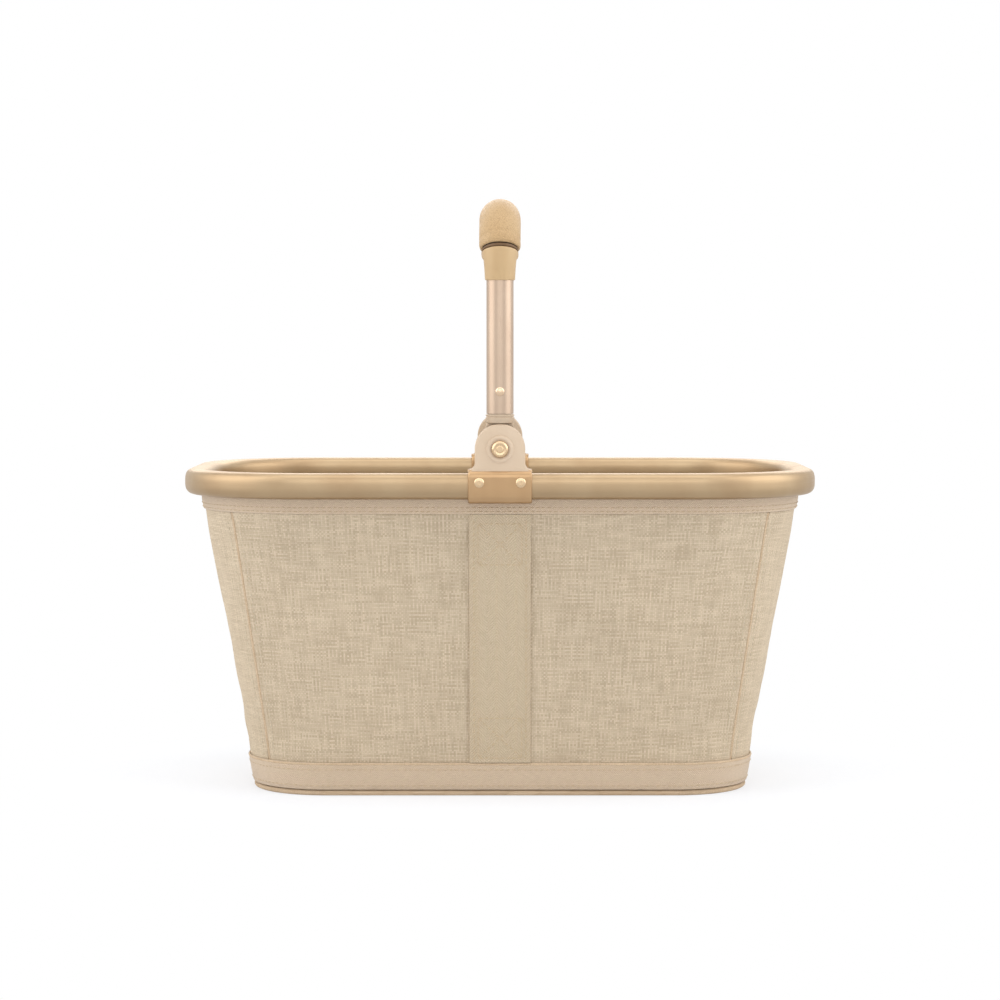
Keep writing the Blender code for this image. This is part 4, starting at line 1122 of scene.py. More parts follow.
def add_screws_and_pivots():
    """Screws, pins, caps and washers at both joints."""
    screw = through_screw()
    pin, cap = pin_and_cap()
    washers = {"outer": friction_washer(1), "inner": friction_washer(-1)}
    for side in (FRONT, BACK):
        name = SIDE_NAME[side]
        for end in (LEFT, RIGHT):
            both = f"{name}_{END_NAME[end]}"
            obj = at_joint(screw, side, end * side * SCREW_X, SCREW_Z)
            node = f"cover_screw_{both}"
            settle(obj, f"joint_screw_{both}", pale_steel, "rim", [node])
        for shape, label in ((pin, "pin"), (cap, "cap")):
            obj = at_joint(shape, side, 0, PIVOT_RISE)
            both = f"{label}_{name}"
            settle(obj, f"handle_{both}", pale_steel, "rim", [f"pivot_{both}"])
        for label, shape in washers.items():
            obj = at_joint(shape, side, 0, PIVOT_RISE)
            both = f"washer_{label}_{name}"
            node = f"pivot_{both}"
            settle(obj, f"friction_{both}", washer_black, "rim", [node])
    for shape in (screw, pin, cap, *washers.values()):
        bpy.data.objects.remove(shape)


# Handle


BAR_STRAIGHT = RIM_HALF_Y - HANDLE_BEND       # half the crossbar, up to where it bends
BEND_Z = CROSSBAR_Z - HANDLE_BEND
GRIP_HALF_RUN = BAR_STRAIGHT + HANDLE_BEND * (math.pi / 2 - GRIP_START)
GRIP_BORE = 0.0128
FOOT_RADIUS = 0.0138        # of the tongue round the pivot
SHOULDER_RADIUS = 0.0104
SHOULDER_HIGH = 0.0065
PLUG_LONG = 0.034
FOOT_BORE = 0.0034          # round the pin
RIVET_RISE = 0.016          # above the tube's end


def handle_path(steps=28):
    """The handle's middle line, from the front leg's foot over the crossbar to the back leg's."""
    path = arc((-BAR_STRAIGHT, BEND_Z), HANDLE_BEND, 180, 90, steps)
    path += arc((BAR_STRAIGHT, BEND_Z), HANDLE_BEND, 90, 0, steps)
    path = [(-RIM_HALF_Y, TUBE_START_Z)] + path + [(RIM_HALF_Y, TUBE_START_Z)]
    return [(0, py, pz) for py, pz in path]


def add_handle_tube():
    """The bent tube, open at its ends."""
    tube = swept(handle_path(), radius=HANDLE_RADIUS, caps=False, sides=10)
    apply_modifier(tube, "SOLIDIFY", thickness=HANDLE_WALL, offset=-1.0)
    settle(tube, "handle_bow", champagne_tube, "handle", ["handle_tube"])


def handle_foot():
    """Moulded end of the handle, standing on the pivot: a tongue, a grooved shoulder, the plug."""
    low = EAR_RADIUS + 0.0004
    top = low + SHOULDER_HIGH
    narrow = SHOULDER_RADIUS * 0.86
    outline = arc((0, 0), FOOT_RADIUS, 180, 360, 40)
    tongue_top = top - 0.0030
    outline += [(narrow, tongue_top), (-narrow, tongue_top)]
    tongue = slab([(px, -TONGUE_HALF, pz) for px, pz in outline], (0, 2 * TONGUE_HALF, 0))

    def round_the_faces(a, b):
        return abs(a.y - b.y) < 1e-6 and min(a.z, b.z) < tongue_top - 0.0001

    soften(tongue, round_the_faces, 0.0009)
    plug = HANDLE_RADIUS - HANDLE_WALL - GAP
    wide, groove = SHOULDER_RADIUS, SHOULDER_RADIUS - 0.0005
    stem = turned([
        (0, low), (0.0092, low), (0.0101, low + 0.0004), (wide, low + 0.0012),
        (wide, low + 0.0042), (groove, low + 0.0045), (groove, low + 0.0051),
        (wide, low + 0.0054), (wide, top - 0.0005), (groove, top), (plug, top),
        (plug, top + PLUG_LONG - 0.002), (plug * 0.85, top + PLUG_LONG), (0, top + PLUG_LONG),
    ])
    cut_away(stem, tongue, "UNION")
    cut_away(stem, rod_along_y(FOOT_BORE, -0.01, 0.01, (0, 0)))
    tidy_mesh(stem)
    return stem


def add_feet_and_rivets():
    """The moulded ends in the tube, and the rivets that hold them there."""
    foot = handle_foot()
    seat = HANDLE_RADIUS + GAP * 0.3
    rivet = two_headed([
        (0.0018, seat), (0.0032, seat), (0.00315, seat + 0.0003),
        (0.0026, seat + 0.00085), (0.0015, seat + 0.00118), (0, seat + 0.0013),
    ])
    for side in (FRONT, BACK):
        name = SIDE_NAME[side]
        turn = Matrix.Rotation(math.pi if side == FRONT else 0.0, 4, "Z")
        obj = placed(copied(foot), Matrix.Translation((0, side * RIM_HALF_Y, PIVOT_Z)) @ turn)
        node = f"handle_foot_{name}"
        settle(obj, f"handle_end_{name}", foot_plastic, "handle", [node], angle=38)
        place = Matrix.Translation((0, side * RIM_HALF_Y, TUBE_START_Z + RIVET_RISE))
        obj = placed(copied(rivet), place @ turn @ ON_ITS_SIDE)
        node = f"handle_rivet_{name}"
        settle(obj, f"bow_rivet_{name}", champagne_small, "handle", [node])
    bpy.data.objects.remove(foot)
    bpy.data.objects.remove(rivet)


def on_bar(run):
    """Centre, outward and forward direction of the handle at a run from the crossbar's middle."""
    if abs(run) <= BAR_STRAIGHT:
        return Vector((0, run, CROSSBAR_Z)), Z.copy(), Y.copy()
    side = math.copysign(1.0, run)
    angle = math.pi / 2 - (abs(run) - BAR_STRAIGHT) / HANDLE_BEND
    if angle < 0:
        return Vector((0, side * RIM_HALF_Y, BEND_Z + angle * HANDLE_BEND)), Y * side, -Z * side
    out = Vector((0, side * math.cos(angle), math.sin(angle)))
    forward = Vector((0, math.sin(angle), -side * math.cos(angle)))
    return Vector((0, side * BAR_STRAIGHT, BEND_Z)) + out * HANDLE_BEND, out, forward


def bar_ring(run, radius_at, steps=84):
    """Points round the handle at a run, from underneath, with a radius for each angle."""
    centre, out, _ = on_bar(run)
    ring = []
    for j in range(steps):
        a = -math.pi / 2 + 2 * math.pi * j / steps
        radius = radius_at(run, a)
        ring.append(centre + X * math.cos(a) * radius + out * math.sin(a) * radius)
    return ring


def easing(value):
    """A smooth step from 0 to 1."""
    value = min(1.0, max(0.0, value))
    return value * value * (3 - 2 * value)


def hump(distance, width):
    """A bell curve, 1 in the middle."""
    return math.exp(-(distance / width) ** 2)


def grip_radius(run, around):
    """The cover's radius: rolled ends, finger swells underneath, folds in the bends, the seam."""
    finger_pitch, fold_pitch = 0.021, 0.0062
    end_round, end_stitch = 0.0028, 0.0062      # from the cover's end
    left = GRIP_HALF_RUN - abs(run)
    under = max(0.0, -math.sin(around))
    bend = min(1.0, max(0.0, (abs(run) - BAR_STRAIGHT + 0.006) / 0.012))
    slip = noise.noise(Vector((run * 60, 0.0, 3.0))) * 0.35
    folds = math.sin(run / fold_pitch * 2 * math.pi + slip * 6.0)
    fingers = (1 + math.cos(run / finger_pitch * 2 * math.pi)) / 2
    radius = GRIP_RADIUS
    radius += 0.00026 * folds * bend * under ** 1.5 * easing((left - 0.006) / 0.010)
    radius -= 0.00030 * fingers * under ** 2 * (1 - bend)
    spot = Vector((run * 45, math.cos(around) * 1.6, math.sin(around) * 1.6))
    radius += 0.00022 * noise.noise(spot)
    seam_away = math.remainder(around + math.pi / 2, 2 * math.pi) * GRIP_RADIUS
    radius -= 0.00085 * hump(seam_away, 0.0008)
    radius += 0.00025 * hump(abs(seam_away) - 0.0022, 0.0012)
    if left < end_round:
        rolled = 1 - math.sqrt(max(0.0, 1 - (1 - left / end_round) ** 2))
        radius -= (GRIP_RADIUS - GRIP_END_RADIUS) * rolled
    return radius - 0.00045 * hump(left - end_stitch, 0.0007)


def add_grip():
    """The padded cover over its foam, and the crossed thread along its seam."""
    outer_steps, inner_steps = 250, 16
    rings = []
    for i in range(outer_steps + 1):
        share = 2 * i / outer_steps - 1
        eased = math.copysign(1 - (1 - abs(share)) ** 1.25, share)
        rings.append(bar_ring(eased * GRIP_HALF_RUN, grip_radius))
    for i in range(inner_steps, -1, -1):
        run = (2 * i / inner_steps - 1) * GRIP_HALF_RUN
        rings.append(bar_ring(run, lambda run, around: GRIP_BORE))
    cover = closed_loft(rings)
    settle(cover, "grip_wrap", grip_leather, "handle", ["grip_cover"], angle=60)
    verts, faces = [], []
    count = 58
    points = []
    for co in STITCH_VERTS:
        x, y, z = co.x * 1.35, co.y * 1.1, co.z * 1.1
        bow = 0.00022 * (1 - (x / (STITCH_LONG * 0.68)) ** 2)
        points.append((x, y, z + bow - 0.0001))
    for n in range(count):
        run = (2 * (n + 0.5) / count - 1) * (GRIP_HALF_RUN - 0.008)
        centre, out, forward = on_bar(run)
        place = centre - out * (GRIP_RADIUS - 0.00018)
        for lean in (-1, 1):
            along = (X + forward * 0.42 * lean).normalized()
            add_stitch(verts, faces, place, (along, (-out).cross(along), -out), points)
    seam = mesh_piece(verts, faces)
    settle(seam, "grip_seam_thread", tan_thread, "handle", angle=60)
    paint_node("grip_core", grip_foam)


def paint_node(name, finish):
    """Gives a node of the model that stays as it is a material of its own."""
    for material_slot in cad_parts[name].material_slots:
        material_slot.material = finish


def add_collars():
    """Stepped collars under the grip's ends, with a dark-brown band in their groove that paints the
    groove's shadow.
    """
    bore, end = HANDLE_RADIUS + GAP, COLLAR_LONG - GAP * 1.8
    profile = [
        (bore, 0.0002), (0.0104, 0.0), (0.01085, 0.0004), (0.0111, 0.0045), (0.01135, 0.0090),
        (0.0119, 0.0148), (0.0123, 0.0170), (0.01275, 0.0188), (0.0129, 0.0196),
        (0.01285, 0.0202), (0.0125, 0.0205), (0.0110, 0.0206), (0.0108, 0.0209),
        (0.0108, COLLAR_LONG - 0.0010), (0.0106, end), (bore, end),
    ]
    groove = [
        (0.0111, 0.0208), (0.0124, 0.0208), (0.0129, 0.0211), (0.0131, 0.0217),
        (0.0129, 0.0223), (0.0124, 0.0226), (0.0111, 0.0226),
    ]
    dense = []
    for (wide, low), (next_wide, high) in zip(profile, profile[1:] + profile[:1]):
        cuts = max(1, round(abs(low - high) / 0.0012))
        spots = zip(even_steps(wide, next_wide, cuts), even_steps(low, high, cuts))
        dense += list(spots)[:-1]
    straight = turned(dense, steps=56, closed=True)
    straight_band = turned(groove, steps=56, closed=True)
    for side in (FRONT, BACK):
        name = SIDE_NAME[side]
        collar, band = copied(straight), copied(straight_band)
        for piece in (collar, band):
            for vertex in piece.data.vertices:
                centre, out, _ = on_bar(side * (GRIP_HALF_RUN + COLLAR_LONG - vertex.co.z))
                vertex.co = centre + X * vertex.co.x + out * vertex.co.y
            tidy_mesh(piece)
        node = f"grip_collar_{name}"
        settle(collar, f"grip_ring_{name}", tan_plastic, "handle", [node], angle=38)
        # painted shadow: the dark band fills the groove where the grip's end casts its shade
        settle(band, f"grip_shadow_band_{name}", groove_shadow_band, "handle", angle=38)
    bpy.data.objects.remove(straight)
    bpy.data.objects.remove(straight_band)


# Cloth tub


HALF_BEND = math.pi / 4     # half the angle of a corner
CORNERS = {     # side in x, side in y, and the direction of the corner's middle
    "front_left": (-1, -1, math.radians(225)),
    "front_right": (1, -1, math.radians(315)),
    "back_right": (1, 1, math.radians(45)),
    "back_left": (-1, 1, math.radians(135)),
}
WALL_ENDS = {   # anticlockwise round the tub
    "front": ("front_left", "front_right"),
    "right": ("front_right", "back_right"),
    "back": ("back_right", "back_left"),
    "left": ("back_left", "front_left"),
}
LONG_WALLS = ("front", "back")
STITCH_LIFT = 0.0001        # threads lie this much proud of a tape
WALL_SEEDS = {"front": 11.0, "right": 23.0, "back": 37.0, "left": 51.0}
CLOTH_SETTINGS = {
    "quality": 5, "mass": 0.25, "air_damping": 3.0, "shrink_min": -0.016,
    "tension_stiffness": 30, "compression_stiffness": 30, "shear_stiffness": 12,
    "bending_stiffness": 9.0, "tension_damping": 12, "compression_damping": 12,
    "shear_damping": 12, "bending_damping": 1.0,
}
CLOTH_FRAMES = 24
FOLD_OUT = 0.0010           # the furthest that a fold stands out of the wall
FOLD_IN = {"front": 0.0034, "right": 0.0009, "back": 0.0034, "left": 0.0009}


def up_the_wall(z):
    """Share of the wall's height."""
    return (z - WALL_BOTTOM_Z) / WALL_HIGH


def corner_radius(share):
    """Radius of the tub's corners at a share of its height."""
    return BASE_CORNER + (TOP_CORNER - BASE_CORNER) * share


def further(spot, angle):
    """A corner's spot further round its bend by an angle."""
    return (*spot[:2], spot[2] + angle)


def at_spot(spot):
    """The station at one spot of a corner."""
    return (spot, spot, 0.0)


def bend_point(station, centre_x, centre_y, radius, z):
    """A point of a rounded rectangle, where a station is on it.

    A station is two corner spots, each as (sx, sy, angle), and the share of the way between them.
    """
    spots = []
    for sx, sy, angle in station[:2]:
        centre = Vector((sx * centre_x, sy * centre_y, z))
        spots.append(centre + Vector((math.cos(angle), math.sin(angle), 0)) * radius)
    return spots[0].lerp(spots[1], station[2])


def tub_point(station, z, outward=0.0):
    """A point of the tub's outside at a station and a height."""
    share = up_the_wall(z)
    half_x = BASE_HALF_X + (TOP_HALF_X - BASE_HALF_X) * share + outward
    half_y = BASE_HALF_Y + (TOP_HALF_Y - BASE_HALF_Y) * share + outward
    radius = corner_radius(share) + outward
    return bend_point(station, half_x - radius, half_y - radius, radius, z)


def stations_between(first, last, arc_steps=14, pitch=0.0036):
    """Stations from a corner's middle to the next one's: half a bend, a side, half a bend."""
    turn_a, turn_b = further(first, HALF_BEND), further(last, -HALF_BEND)
    turns = [HALF_BEND * i / arc_steps for i in range(arc_steps + 1)]
    gap = (tub_point(at_spot(turn_a), WALL_TOP_Z) - tub_point(at_spot(turn_b), WALL_TOP_Z)).length
    steps = max(2, round(gap / pitch))
    stations = [at_spot(further(first, turn)) for turn in turns[:-1]]
    stations += [(turn_a, turn_b, i / steps) for i in range(steps + 1)]
    return stations + [at_spot(further(turn_b, turn)) for turn in turns[1:]]


def side_stations(name, **settings):
    """Stations along one wall."""
    start, end = (CORNERS[corner] for corner in WALL_ENDS[name])
    if end[2] < start[2]:
        end = further(end, 2 * math.pi)
    return stations_between(start, end, **settings)


def whole_round(**settings):
    """Stations all round the tub, without repeats."""
    return [station for name in WALL_ENDS for station in side_stations(name, **settings)[:-1]]


def bare(z, below_hem, above_binding, overlap=0.0):
    """1 where the cloth is bare, easing to 0 at the hem and at the binding."""
    under_hem = easing((HEM_BOTTOM_Z + overlap - z) / below_hem)
    return under_hem * easing((z - BINDING_TOP_Z - overlap) / above_binding)


def waist(z):
    """How far the cloth is drawn in at a height, between the binding and the hem."""
    return 0.0003 * bare(z, 0.050, 0.022)


def tucked(edge, z):
    """How far the cloth is drawn in beside a corner seam, by its distance and height."""
    return 0.0005 * hump(edge, 0.0042) * bare(z, 0.006, 0.006)


def wall_sheet(name):
    """The outer face of a wall as a grid of points, drawn back at its two seams."""
    stations = side_stations(name)
    rows = 60
    back = WELT_RADIUS + 0.0001
    grid = []
    for z in even_steps(WALL_BOTTOM_Z, WALL_TOP_Z, rows):
        row = [tub_point(station, z) for station in stations]
        row[0] += (row[1] - row[0]).normalized() * back
        row[-1] += (row[-2] - row[-1]).normalized() * back
        grid.append(row)
    return grid


def neighbours(grid, r, c):
    """Points below, above, before and after a place in a grid, or its own at an edge."""
    above, after = min(r + 1, len(grid) - 1), min(c + 1, len(grid[0]) - 1)
    return grid[max(r - 1, 0)][c], grid[above][c], grid[r][max(c - 1, 0)], grid[r][after]


def outward_of(grid):
    """Direction out of a grid at each of its points."""
    outward = []
    for r in range(len(grid)):
        line = []
        for c in range(len(grid[0])):
            below, above, before, after = neighbours(grid, r, c)
            line.append((after - before).cross(above - below).normalized())
        outward.append(line)
    return outward


def grid_piece(grid, run_u):
    """A sheet on a grid of points, its map in metres."""
    rows, columns = len(grid), len(grid[0])
    verts = [tuple(p) for row in grid for p in row]
    faces = [
        (r * columns + c, r * columns + c + 1, (r + 1) * columns + c + 1, (r + 1) * columns + c)
        for r in range(rows - 1) for c in range(columns - 1)
    ]
    heights = runs_along([row[columns // 2] for row in grid])
    maps = [(run_u[c], heights[r]) for r in range(rows) for c in range(columns)]
    return mesh_piece(verts, faces, maps)


def hung_in_folds(sheet, pinned):
    """Lets a wall's cloth, cut a little large, settle by simulation between its sewn edges."""
    group = sheet.vertex_groups.new(name="sewn")
    group.add(pinned, 1.0, "REPLACE")
    cloth = sheet.modifiers.new("cloth", "CLOTH")
    cloth.settings.vertex_group_mass = group.name
    for name, value in CLOTH_SETTINGS.items():
        setattr(cloth.settings, name, value)
    cloth.settings.effector_weights.gravity = 0.15
    cloth.collision_settings.use_collision = False
    cloth.point_cache.frame_start = 1
    cloth.point_cache.frame_end = CLOTH_FRAMES
    scene = bpy.context.scene
    for number in range(1, CLOTH_FRAMES + 1):
        scene.frame_set(number)
    seen = sheet.evaluated_get(bpy.context.evaluated_depsgraph_get())
    points = [v.co.copy() for v in seen.data.vertices]
    sheet.modifiers.remove(cloth)
    scene.frame_set(1)
    return points


def hung(name, grid, outward, run_u):
    """A wall's points after the cloth has settled, row by row."""
    seed = WALL_SEEDS[name]
    start = []
    for line, directions in zip(grid, outward):
        start.append([
            point + direction * (0.0009 * noise.noise(Vector((run * 24, point.z * 18, seed))))
            for point, direction, run in zip(line, directions, run_u)
        ])
    rows, columns = len(grid), len(grid[0])
    high, low = HEM_BOTTOM_Z - 0.002, BINDING_TOP_Z + 0.001
    pinned = [
        r * columns + c for r in range(rows) for c in range(columns)
        if c in (0, columns - 1) or grid[r][c].z > high or grid[r][c].z < low
    ]
    sheet = grid_piece(start, run_u)
    moved = hung_in_folds(sheet, pinned)
    bpy.data.objects.remove(sheet)
    return [moved[r * columns:(r + 1) * columns] for r in range(rows)]


def folds_of(name, grid, outward, run_u):
    """How far the settled cloth stands out of its wall, kept in the wall's space and smoothed."""
    lift = []
    for line, directions, moved in zip(grid, outward, hung(name, grid, outward, run_u)):
        open_part = bare(line[0].z, 0.022, 0.020, overlap=0.001)
        raw = [(new - old).dot(out) for new, old, out in zip(moved, line, directions)]
        middle_lift = sum(raw) / len(raw)
        row = []
        for point, run, height in zip(line, run_u, raw):
            free = open_part * easing((min(run, run_u[-1] - run) - 0.001) / 0.014)
            if name in LONG_WALLS:
                free *= 0.35 + 0.65 * easing((abs(point.x) - STRAP_WIDE / 2) / 0.018)
            folded = (height - middle_lift) * free
            deepest = FOLD_OUT if folded > 0 else FOLD_IN[name]
            row.append(deepest * math.tanh(folded / deepest))
        lift.append(row)
    for _ in range(3):
        lift = [
            [0.5 * row[c] + 0.125 * sum(neighbours(lift, r, c)) for c in range(len(row))]
            for r, row in enumerate(lift)
        ]
    return lift


def add_wall(name):
    """A padded wall: folds of a few millimetres, held along its seams and at the strap."""
    grid = wall_sheet(name)
    run_u = runs_along(grid[len(grid) // 2])
    outward = outward_of(grid)
    lift = folds_of(name, grid, outward, run_u)
    pucker_pitch, pucker_away = 0.0095, 0.006
    cloth = []
    for line, directions, heights in zip(grid, outward, lift):
        z = line[0].z
        wave = 0.00028 * math.sin(z / pucker_pitch * 2 * math.pi + WALL_SEEDS[name])
        row = []
        for point, direction, run, height in zip(line, directions, run_u, heights):
            edge = min(run, run_u[-1] - run)
            pucker = wave * (hump(edge - pucker_away, 0.006) * bare(z, 0.006, 0.006))
            row.append(point + direction * (height + (pucker - waist(z) - tucked(edge, z))))
        cloth.append(row)
    wall = grid_piece(cloth, run_u)
    wall.data.materials.append(tub_cloth)
    wall.data.materials.append(lining_cloth)
    tree = surface(wall)
    apply_modifier(
        wall, "SOLIDIFY", thickness=CLOTH_THICK, offset=-1.0, use_even_offset=True,
        material_offset=1, material_offset_rim=0,
    )
    settle(wall, f"tub_wall_{name}", None, "base", [f"wall_{name}"], angle=60)
    fold_with_ring(wall)
    return tree


def on_wall(tree, station, z, outward=0.0):
    """The point off a wall's real outer face near a station, and the direction outwards."""
    reach = 0.02
    spot = tub_point(station, z)
    beside = tub_point(station, z, outward=0.004)
    ray = Vector((beside.x - spot.x, beside.y - spot.y, 0.0)).normalized()
    found, normal, _, _ = tree.ray_cast(spot + ray * reach, -ray, 0.05)
    if found is None:
        found, normal = spot, ray
    if normal.dot(ray) < 0:
        normal = -normal
    return found + normal * outward, normal


def corner_spot(corner, across, z):
    """The station beside a corner's middle, at a distance along the cloth."""
    return at_spot(further(corner, across / corner_radius(up_the_wall(z))))


def walls_at(name):
    """The wall that ends at a corner and the one that starts there."""
    return tuple(next(wall for wall, ends in WALL_ENDS.items() if ends[i] == name) for i in (1, 0))


def add_welts(trees):
    """Corded corner seams, and a row of stitches on each side of them."""
    stitch_away = 0.0062
    for name, corner in CORNERS.items():
        out = Vector((corner[0], corner[1], 0)).normalized()
        across = Vector((corner[0], -corner[1], 0)).normalized()
        path = []
        for z in even_steps(WALL_BOTTOM_Z + GAP * 2, WALL_TOP_Z, 40):
            wander = 0.00004 * noise.noise(Vector((z * 90, corner[0] * 3, corner[1] * 3)))
            middle = tub_point(at_spot(corner), z) - out * (CLOTH_THICK / 2 + waist(z))
            path.append(middle + across * wander)
        cord = swept(path, radius=WELT_RADIUS, sides=3)
        node = f"seam_{name}"
        settle(cord, f"corner_welt_{name}", piping_cloth, "base", [node], angle=60)
        fold_with_ring(cord)
        rows = []
        for wall, ends in WALL_ENDS.items():
            if name in ends:
                away = stitch_away if name == ends[0] else -stitch_away
                rows.append([
                    on_wall(trees[wall], corner_spot(corner, away, z), z)
                    for z in even_steps(BINDING_TOP_Z + 0.002, HEM_BOTTOM_Z - 0.002, 60)
                ])
        sew(f"welt_stitching_{name}", rows, pale_thread)


def add_seam_tapes(trees):
    """Tapes that bind the corner seams inside the tub."""
    low, high = WALL_BOTTOM_Z + 0.0010, WALL_TOP_Z - GAP
    thick, half = SEAM_TAPE_THICK, 0.0052
    across_tape = (-0.0050, -0.0035, -0.0022, 0.0022, 0.0035, 0.0050)
    section = [(-half, thick / 2)] + [(across, 0.0) for across in across_tape]
    section += [(half, thick / 2)] + [(across, thick) for across in reversed(across_tape)]
    against = CLOTH_THICK + GAP
    stitch_away, stitch_depth = 0.0039, against + thick + STITCH_LIFT
    stitch_heights = even_steps(low + 0.010, high - 0.002, 60)
    for name, corner in CORNERS.items():
        ending, starting = walls_at(name)

        def inside(across, z, depth):
            """A place inside the tub beside the seam, and the direction outwards."""
            tree = trees[ending] if across < 0 else trees[starting]
            return on_wall(tree, corner_spot(corner, across, z), z, -depth)

        rings = [
            [inside(across, z, against + lift)[0] for across, lift in section]
            for z in even_steps(low, high, 80)
        ]
        tape = closed_loft(rings, cyclic=False)
        settle(tape, f"seam_tape_{name}", trim_tape, "base", angle=50)
        fold_with_ring(tape)
        rows = []
        for across in (-stitch_away, stitch_away):
            places = [inside(across, z, stitch_depth) for z in stitch_heights]
            rows.append([(place, -outside) for place, outside in places])
        sew(f"seam_tape_stitching_{name}", rows, tan_thread)


def add_foot_tape():
    """Tape pressed into the corner between the walls and the bottom, over the piping's seam."""
    stations = whole_round(arc_steps=18, pitch=0.006)
    section = [     # millimetres in from the wall's outside, and up
        (2.80, 9.0), (2.80, 6.0), (3.30, 4.2), (4.60, 3.0), (6.00, 2.74), (8.30, 2.74),
        (8.50, 3.02), (8.30, 3.30), (6.00, 3.32), (4.90, 3.6), (3.90, 4.6), (3.40, 6.1),
        (3.40, 9.0), (3.10, 9.3),
    ]
    rings = []
    for n, station in enumerate(stations):
        wave = max(0.0, 0.10 * noise.noise(Vector((n * 0.31, 2.0, 6.0))))
        rings.append([
            tub_point(station, (up + wave) / 1000, -inset / 1000) for inset, up in section
        ])
    tape = closed_loft(rings)
    settle(tape, "foot_tape", trim_tape, "base", angle=60)
    row = [(tub_point(station, 0.00336, -0.0074), Z.copy()) for station in stations + stations[:1]]
    sew("foot_tape_stitching", [row], tan_thread, folds=False)


def add_strap(side, tree):
    """Webbing up the middle of a long wall, stitched along its edges and boxed at its ends."""
    name = SIDE_NAME[side]
    low, high = BINDING_TOP_Z + GAP, HEM_BOTTOM_Z - GAP
    start, end = (CORNERS[corner] for corner in WALL_ENDS[name])
    turn_a, turn_b = further(start, HALF_BEND), further(end, -HALF_BEND)

    def wall_at(x, z):
        """The wall's face at a place on its straight part."""
        a, b = tub_point(at_spot(turn_a), z), tub_point(at_spot(turn_b), z)
        return on_wall(tree, (turn_a, turn_b, (x - a.x) / (b.x - a.x)), z)[0]

    half = STRAP_WIDE / 2
    edge = STRAP_THICK / 2
    section = [(-half + 0.0005, 0.0), (half - 0.0005, 0.0)]
    section += [(half - edge + px, edge + pz) for px, pz in arc((0, 0), edge, -40, 90, 4)]
    section += [(x, STRAP_THICK) for x in even_steps(half - edge, edge - half, 10)[1:-1]]
    section += [(-half + edge + px, edge + pz) for px, pz in arc((0, 0), edge, 90, 220, 4)]
    rings = []
    for z in even_steps(low, high, 60):
        clear = GAP + 0.00012 * noise.noise(Vector((z * 40, side * 5.0, 2.0)))
        pressed = 1 - 0.60 * easing((z - high + 0.016) / 0.015)
        top_out = max(wall_at(x, z).y * side for x in (-half, -half / 2, 0.0, half / 2, half))
        ring = []
        for x, lift in section:
            wall_y = wall_at(x, z).y * side
            flat_y = max(wall_y * 0.45 + top_out * 0.55, wall_y)
            ring.append(Vector((x, side * (flat_y + clear + lift * pressed), z)))
        rings.append(ring)
    strap = closed_loft(rings, cyclic=False)
    node = f"strap_{name}"
    settle(strap, f"webbing_strap_{name}", strap_tape, "base", [node], angle=40)
    face = surface(strap)
    fold_with_ring(strap)

    def on_face(x, z):
        """The strap's face at a place, and its direction outwards."""
        found, normal, _, _ = face.ray_cast(Vector((x, side * 0.3, z)), Vector((0, -side, 0)), 0.4)
        return found, normal if normal.y * side > 0 else -normal

    box_high, box_half = 0.030, half - 0.0065
    rows = []
    for x in (-half + 0.0035, half - 0.0035):
        rows.append([on_face(x, z) for z in even_steps(low + 0.001, high - 0.004, 50)])
    for bottom in (low + 0.0035, high - 0.0070 - box_high):
        top = bottom + box_high
        corners = [(-box_half, bottom), (box_half, bottom), (box_half, top), (-box_half, top)]
        for (xa, za), (xb, zb) in boxed(corners):
            spots = zip(even_steps(xa, xb, 10), even_steps(za, zb, 10))
            rows.append([on_face(x, z) for x, z in spots])
    sew(f"strap_stitching_{name}", rows, tan_thread)


def rounded_edge(station, z, outward, half, angles, extra=0.0):
    """Points round a tape's edge, whose middle is at a height and a distance off the wall."""
    points = []
    for angle in angles:
        run, rise = math.cos(math.radians(angle)) * half, math.sin(math.radians(angle)) * half
        points.append(tub_point(station, z + rise, (outward + run) * LEAN_STRETCH + extra))
    return points


def binding_ring(station, low, high, wave):
    """Section of the binding at a station, with rounded upper and lower edges."""
    half = BINDING_THICK / 2
    rows, crown = 6, 0.00015

    levels = even_steps(low + half, high - half, rows)
    ring = []
    for i, z in enumerate(levels):
        bow = crown * math.sin(math.pi * i / rows) + wave
        ring.append(tub_point(station, z, (GAP + BINDING_THICK) * LEAN_STRETCH + bow))
    ring += rounded_edge(station, high - half, GAP + half, half, (60, 90, 120), wave)
    ring += [tub_point(station, levels[i], GAP * LEAN_STRETCH) for i in (rows, rows // 2, 0)]
    return ring + rounded_edge(station, low + half, GAP + half, half, (240, 270, 300))


def row_round(stations, z, outward):
    """A closed row of places round the tub for stitches."""
    row = []
    for i, station in enumerate(stations + stations[:1]):
        place = tub_point(station, z, outward)
        ahead = tub_point(stations[(i + 1) % len(stations)], z, outward)
        behind = tub_point(stations[(i - 1) % len(stations)], z, outward)
        along = (ahead - behind).normalized()
        row.append((place, (along.cross(Z) - Z * SLOPE).normalized()))
    return row


